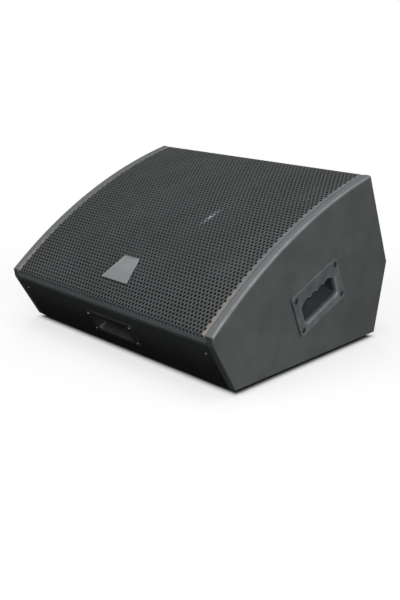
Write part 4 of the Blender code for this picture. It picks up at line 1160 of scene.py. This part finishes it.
def make_world():
    """White behind the wedge, and a soft light on it that comes from overhead and fades to the horizon."""
    world = bpy.data.worlds.new("studio")
    bpy.context.scene.world = world
    world.use_nodes = True
    sky = Graph(world.node_tree)
    path = "ShaderNodeLightPath"
    seen = sky.node(path, output="Is Camera Ray").maths("MAXIMUM", sky.node(path, output="Is Transmission Ray"))
    towards = sky.node("ShaderNodeTexCoord", output="Generated")
    height = sky.node("ShaderNodeSeparateXYZ", sockets=[towards], output="Z")
    overhead = height.mapped(0.0, 0.9, 0.14, 0.60)
    level = seen + (1.0 - seen) * overhead
    background = world.node_tree.nodes["Background"]
    background.inputs["Color"].default_value = (1.0, 1.0, 1.0, 1.0)
    sky.plug(background.inputs["Strength"], level)


def add_lamp(name, place, target, size, power, colour):
    lamp = bpy.data.lights.new(name, "AREA")
    lamp.shape = "RECTANGLE"
    lamp.size, lamp.size_y = size
    lamp.energy = power
    lamp.color = colour
    holder = bpy.data.objects.new(name, lamp)
    bpy.context.scene.collection.objects.link(holder)
    holder.location = place
    aim = Vector(target) - Vector(place)
    holder.rotation_euler = aim.to_track_quat("-Z", "Y").to_euler()
    return holder


CAMERA_PLACE = Vector((1.3702, -1.3470, 0.6994))
CAMERA_AZIMUTH = math.radians(45.215)
CAMERA_ELEVATION = math.radians(16.279)
CAMERA_LENS = 50.97
CAMERA_SHIFT = -0.0467


def make_camera():
    back = Vector((
        math.sin(CAMERA_AZIMUTH) * math.cos(CAMERA_ELEVATION),
        -math.cos(CAMERA_AZIMUTH) * math.cos(CAMERA_ELEVATION),
        math.sin(CAMERA_ELEVATION),
    ))
    view = bpy.data.cameras.new("camera")
    view.lens = CAMERA_LENS
    view.sensor_width = 36.0
    view.shift_y = CAMERA_SHIFT
    camera = bpy.data.objects.new("camera", view)
    bpy.context.scene.collection.objects.link(camera)
    camera.location = CAMERA_PLACE
    camera.rotation_euler = back.to_track_quat("Z", "Y").to_euler()
    bpy.context.scene.camera = camera


def light_the_studio():
    middle = (0.0, 0.0, 0.18)
    add_lamp("right_softbox", (2.6, -0.7, 0.7), middle, (1.6, 1.0), 55.0, (0.95, 0.99, 0.98))
    add_lamp("top_softbox", (0.2, -0.4, 2.8), middle, (2.2, 1.6), 21.0, (1.0, 0.99, 0.96))
    add_lamp("front_fill", (-0.3, -2.8, 2.0), middle, (2.0, 1.4), 34.0, (0.97, 0.99, 1.0))
    back = add_lamp("back_fill", (-2.4, 2.2, 1.2), middle, (1.6, 1.2), 26.0, (1.0, 0.98, 0.95))
    back.visible_glossy = False


# ---------------------------------------------------------------- the whole wedge

bpy.context.scene.view_settings.view_transform = "Standard"
make_camera()
finish_carried_nodes()
for board, side in (("side_board_left", -1), ("side_board_right", 1)):
    make_side_board(board, side)
make_grille()
make_badge()
pan_head = screw_mesh()
make_handle("handle_left", -1, pan_head)
make_handle("handle_right", 1, pan_head)
make_dish(pan_head)
make_feet(pan_head)
woofer_matrix = tilted(WOOFER_X, BAFFLE_PLACE, DECK_TILT)
make_cone(woofer_matrix)
make_suspension(woofer_matrix)
make_driver_fixings(woofer_matrix, tilted(HORN_X, BAFFLE_PLACE, DECK_TILT), pan_head)
make_panel_screws(pan_head)
make_floor()
make_world()
light_the_studio()
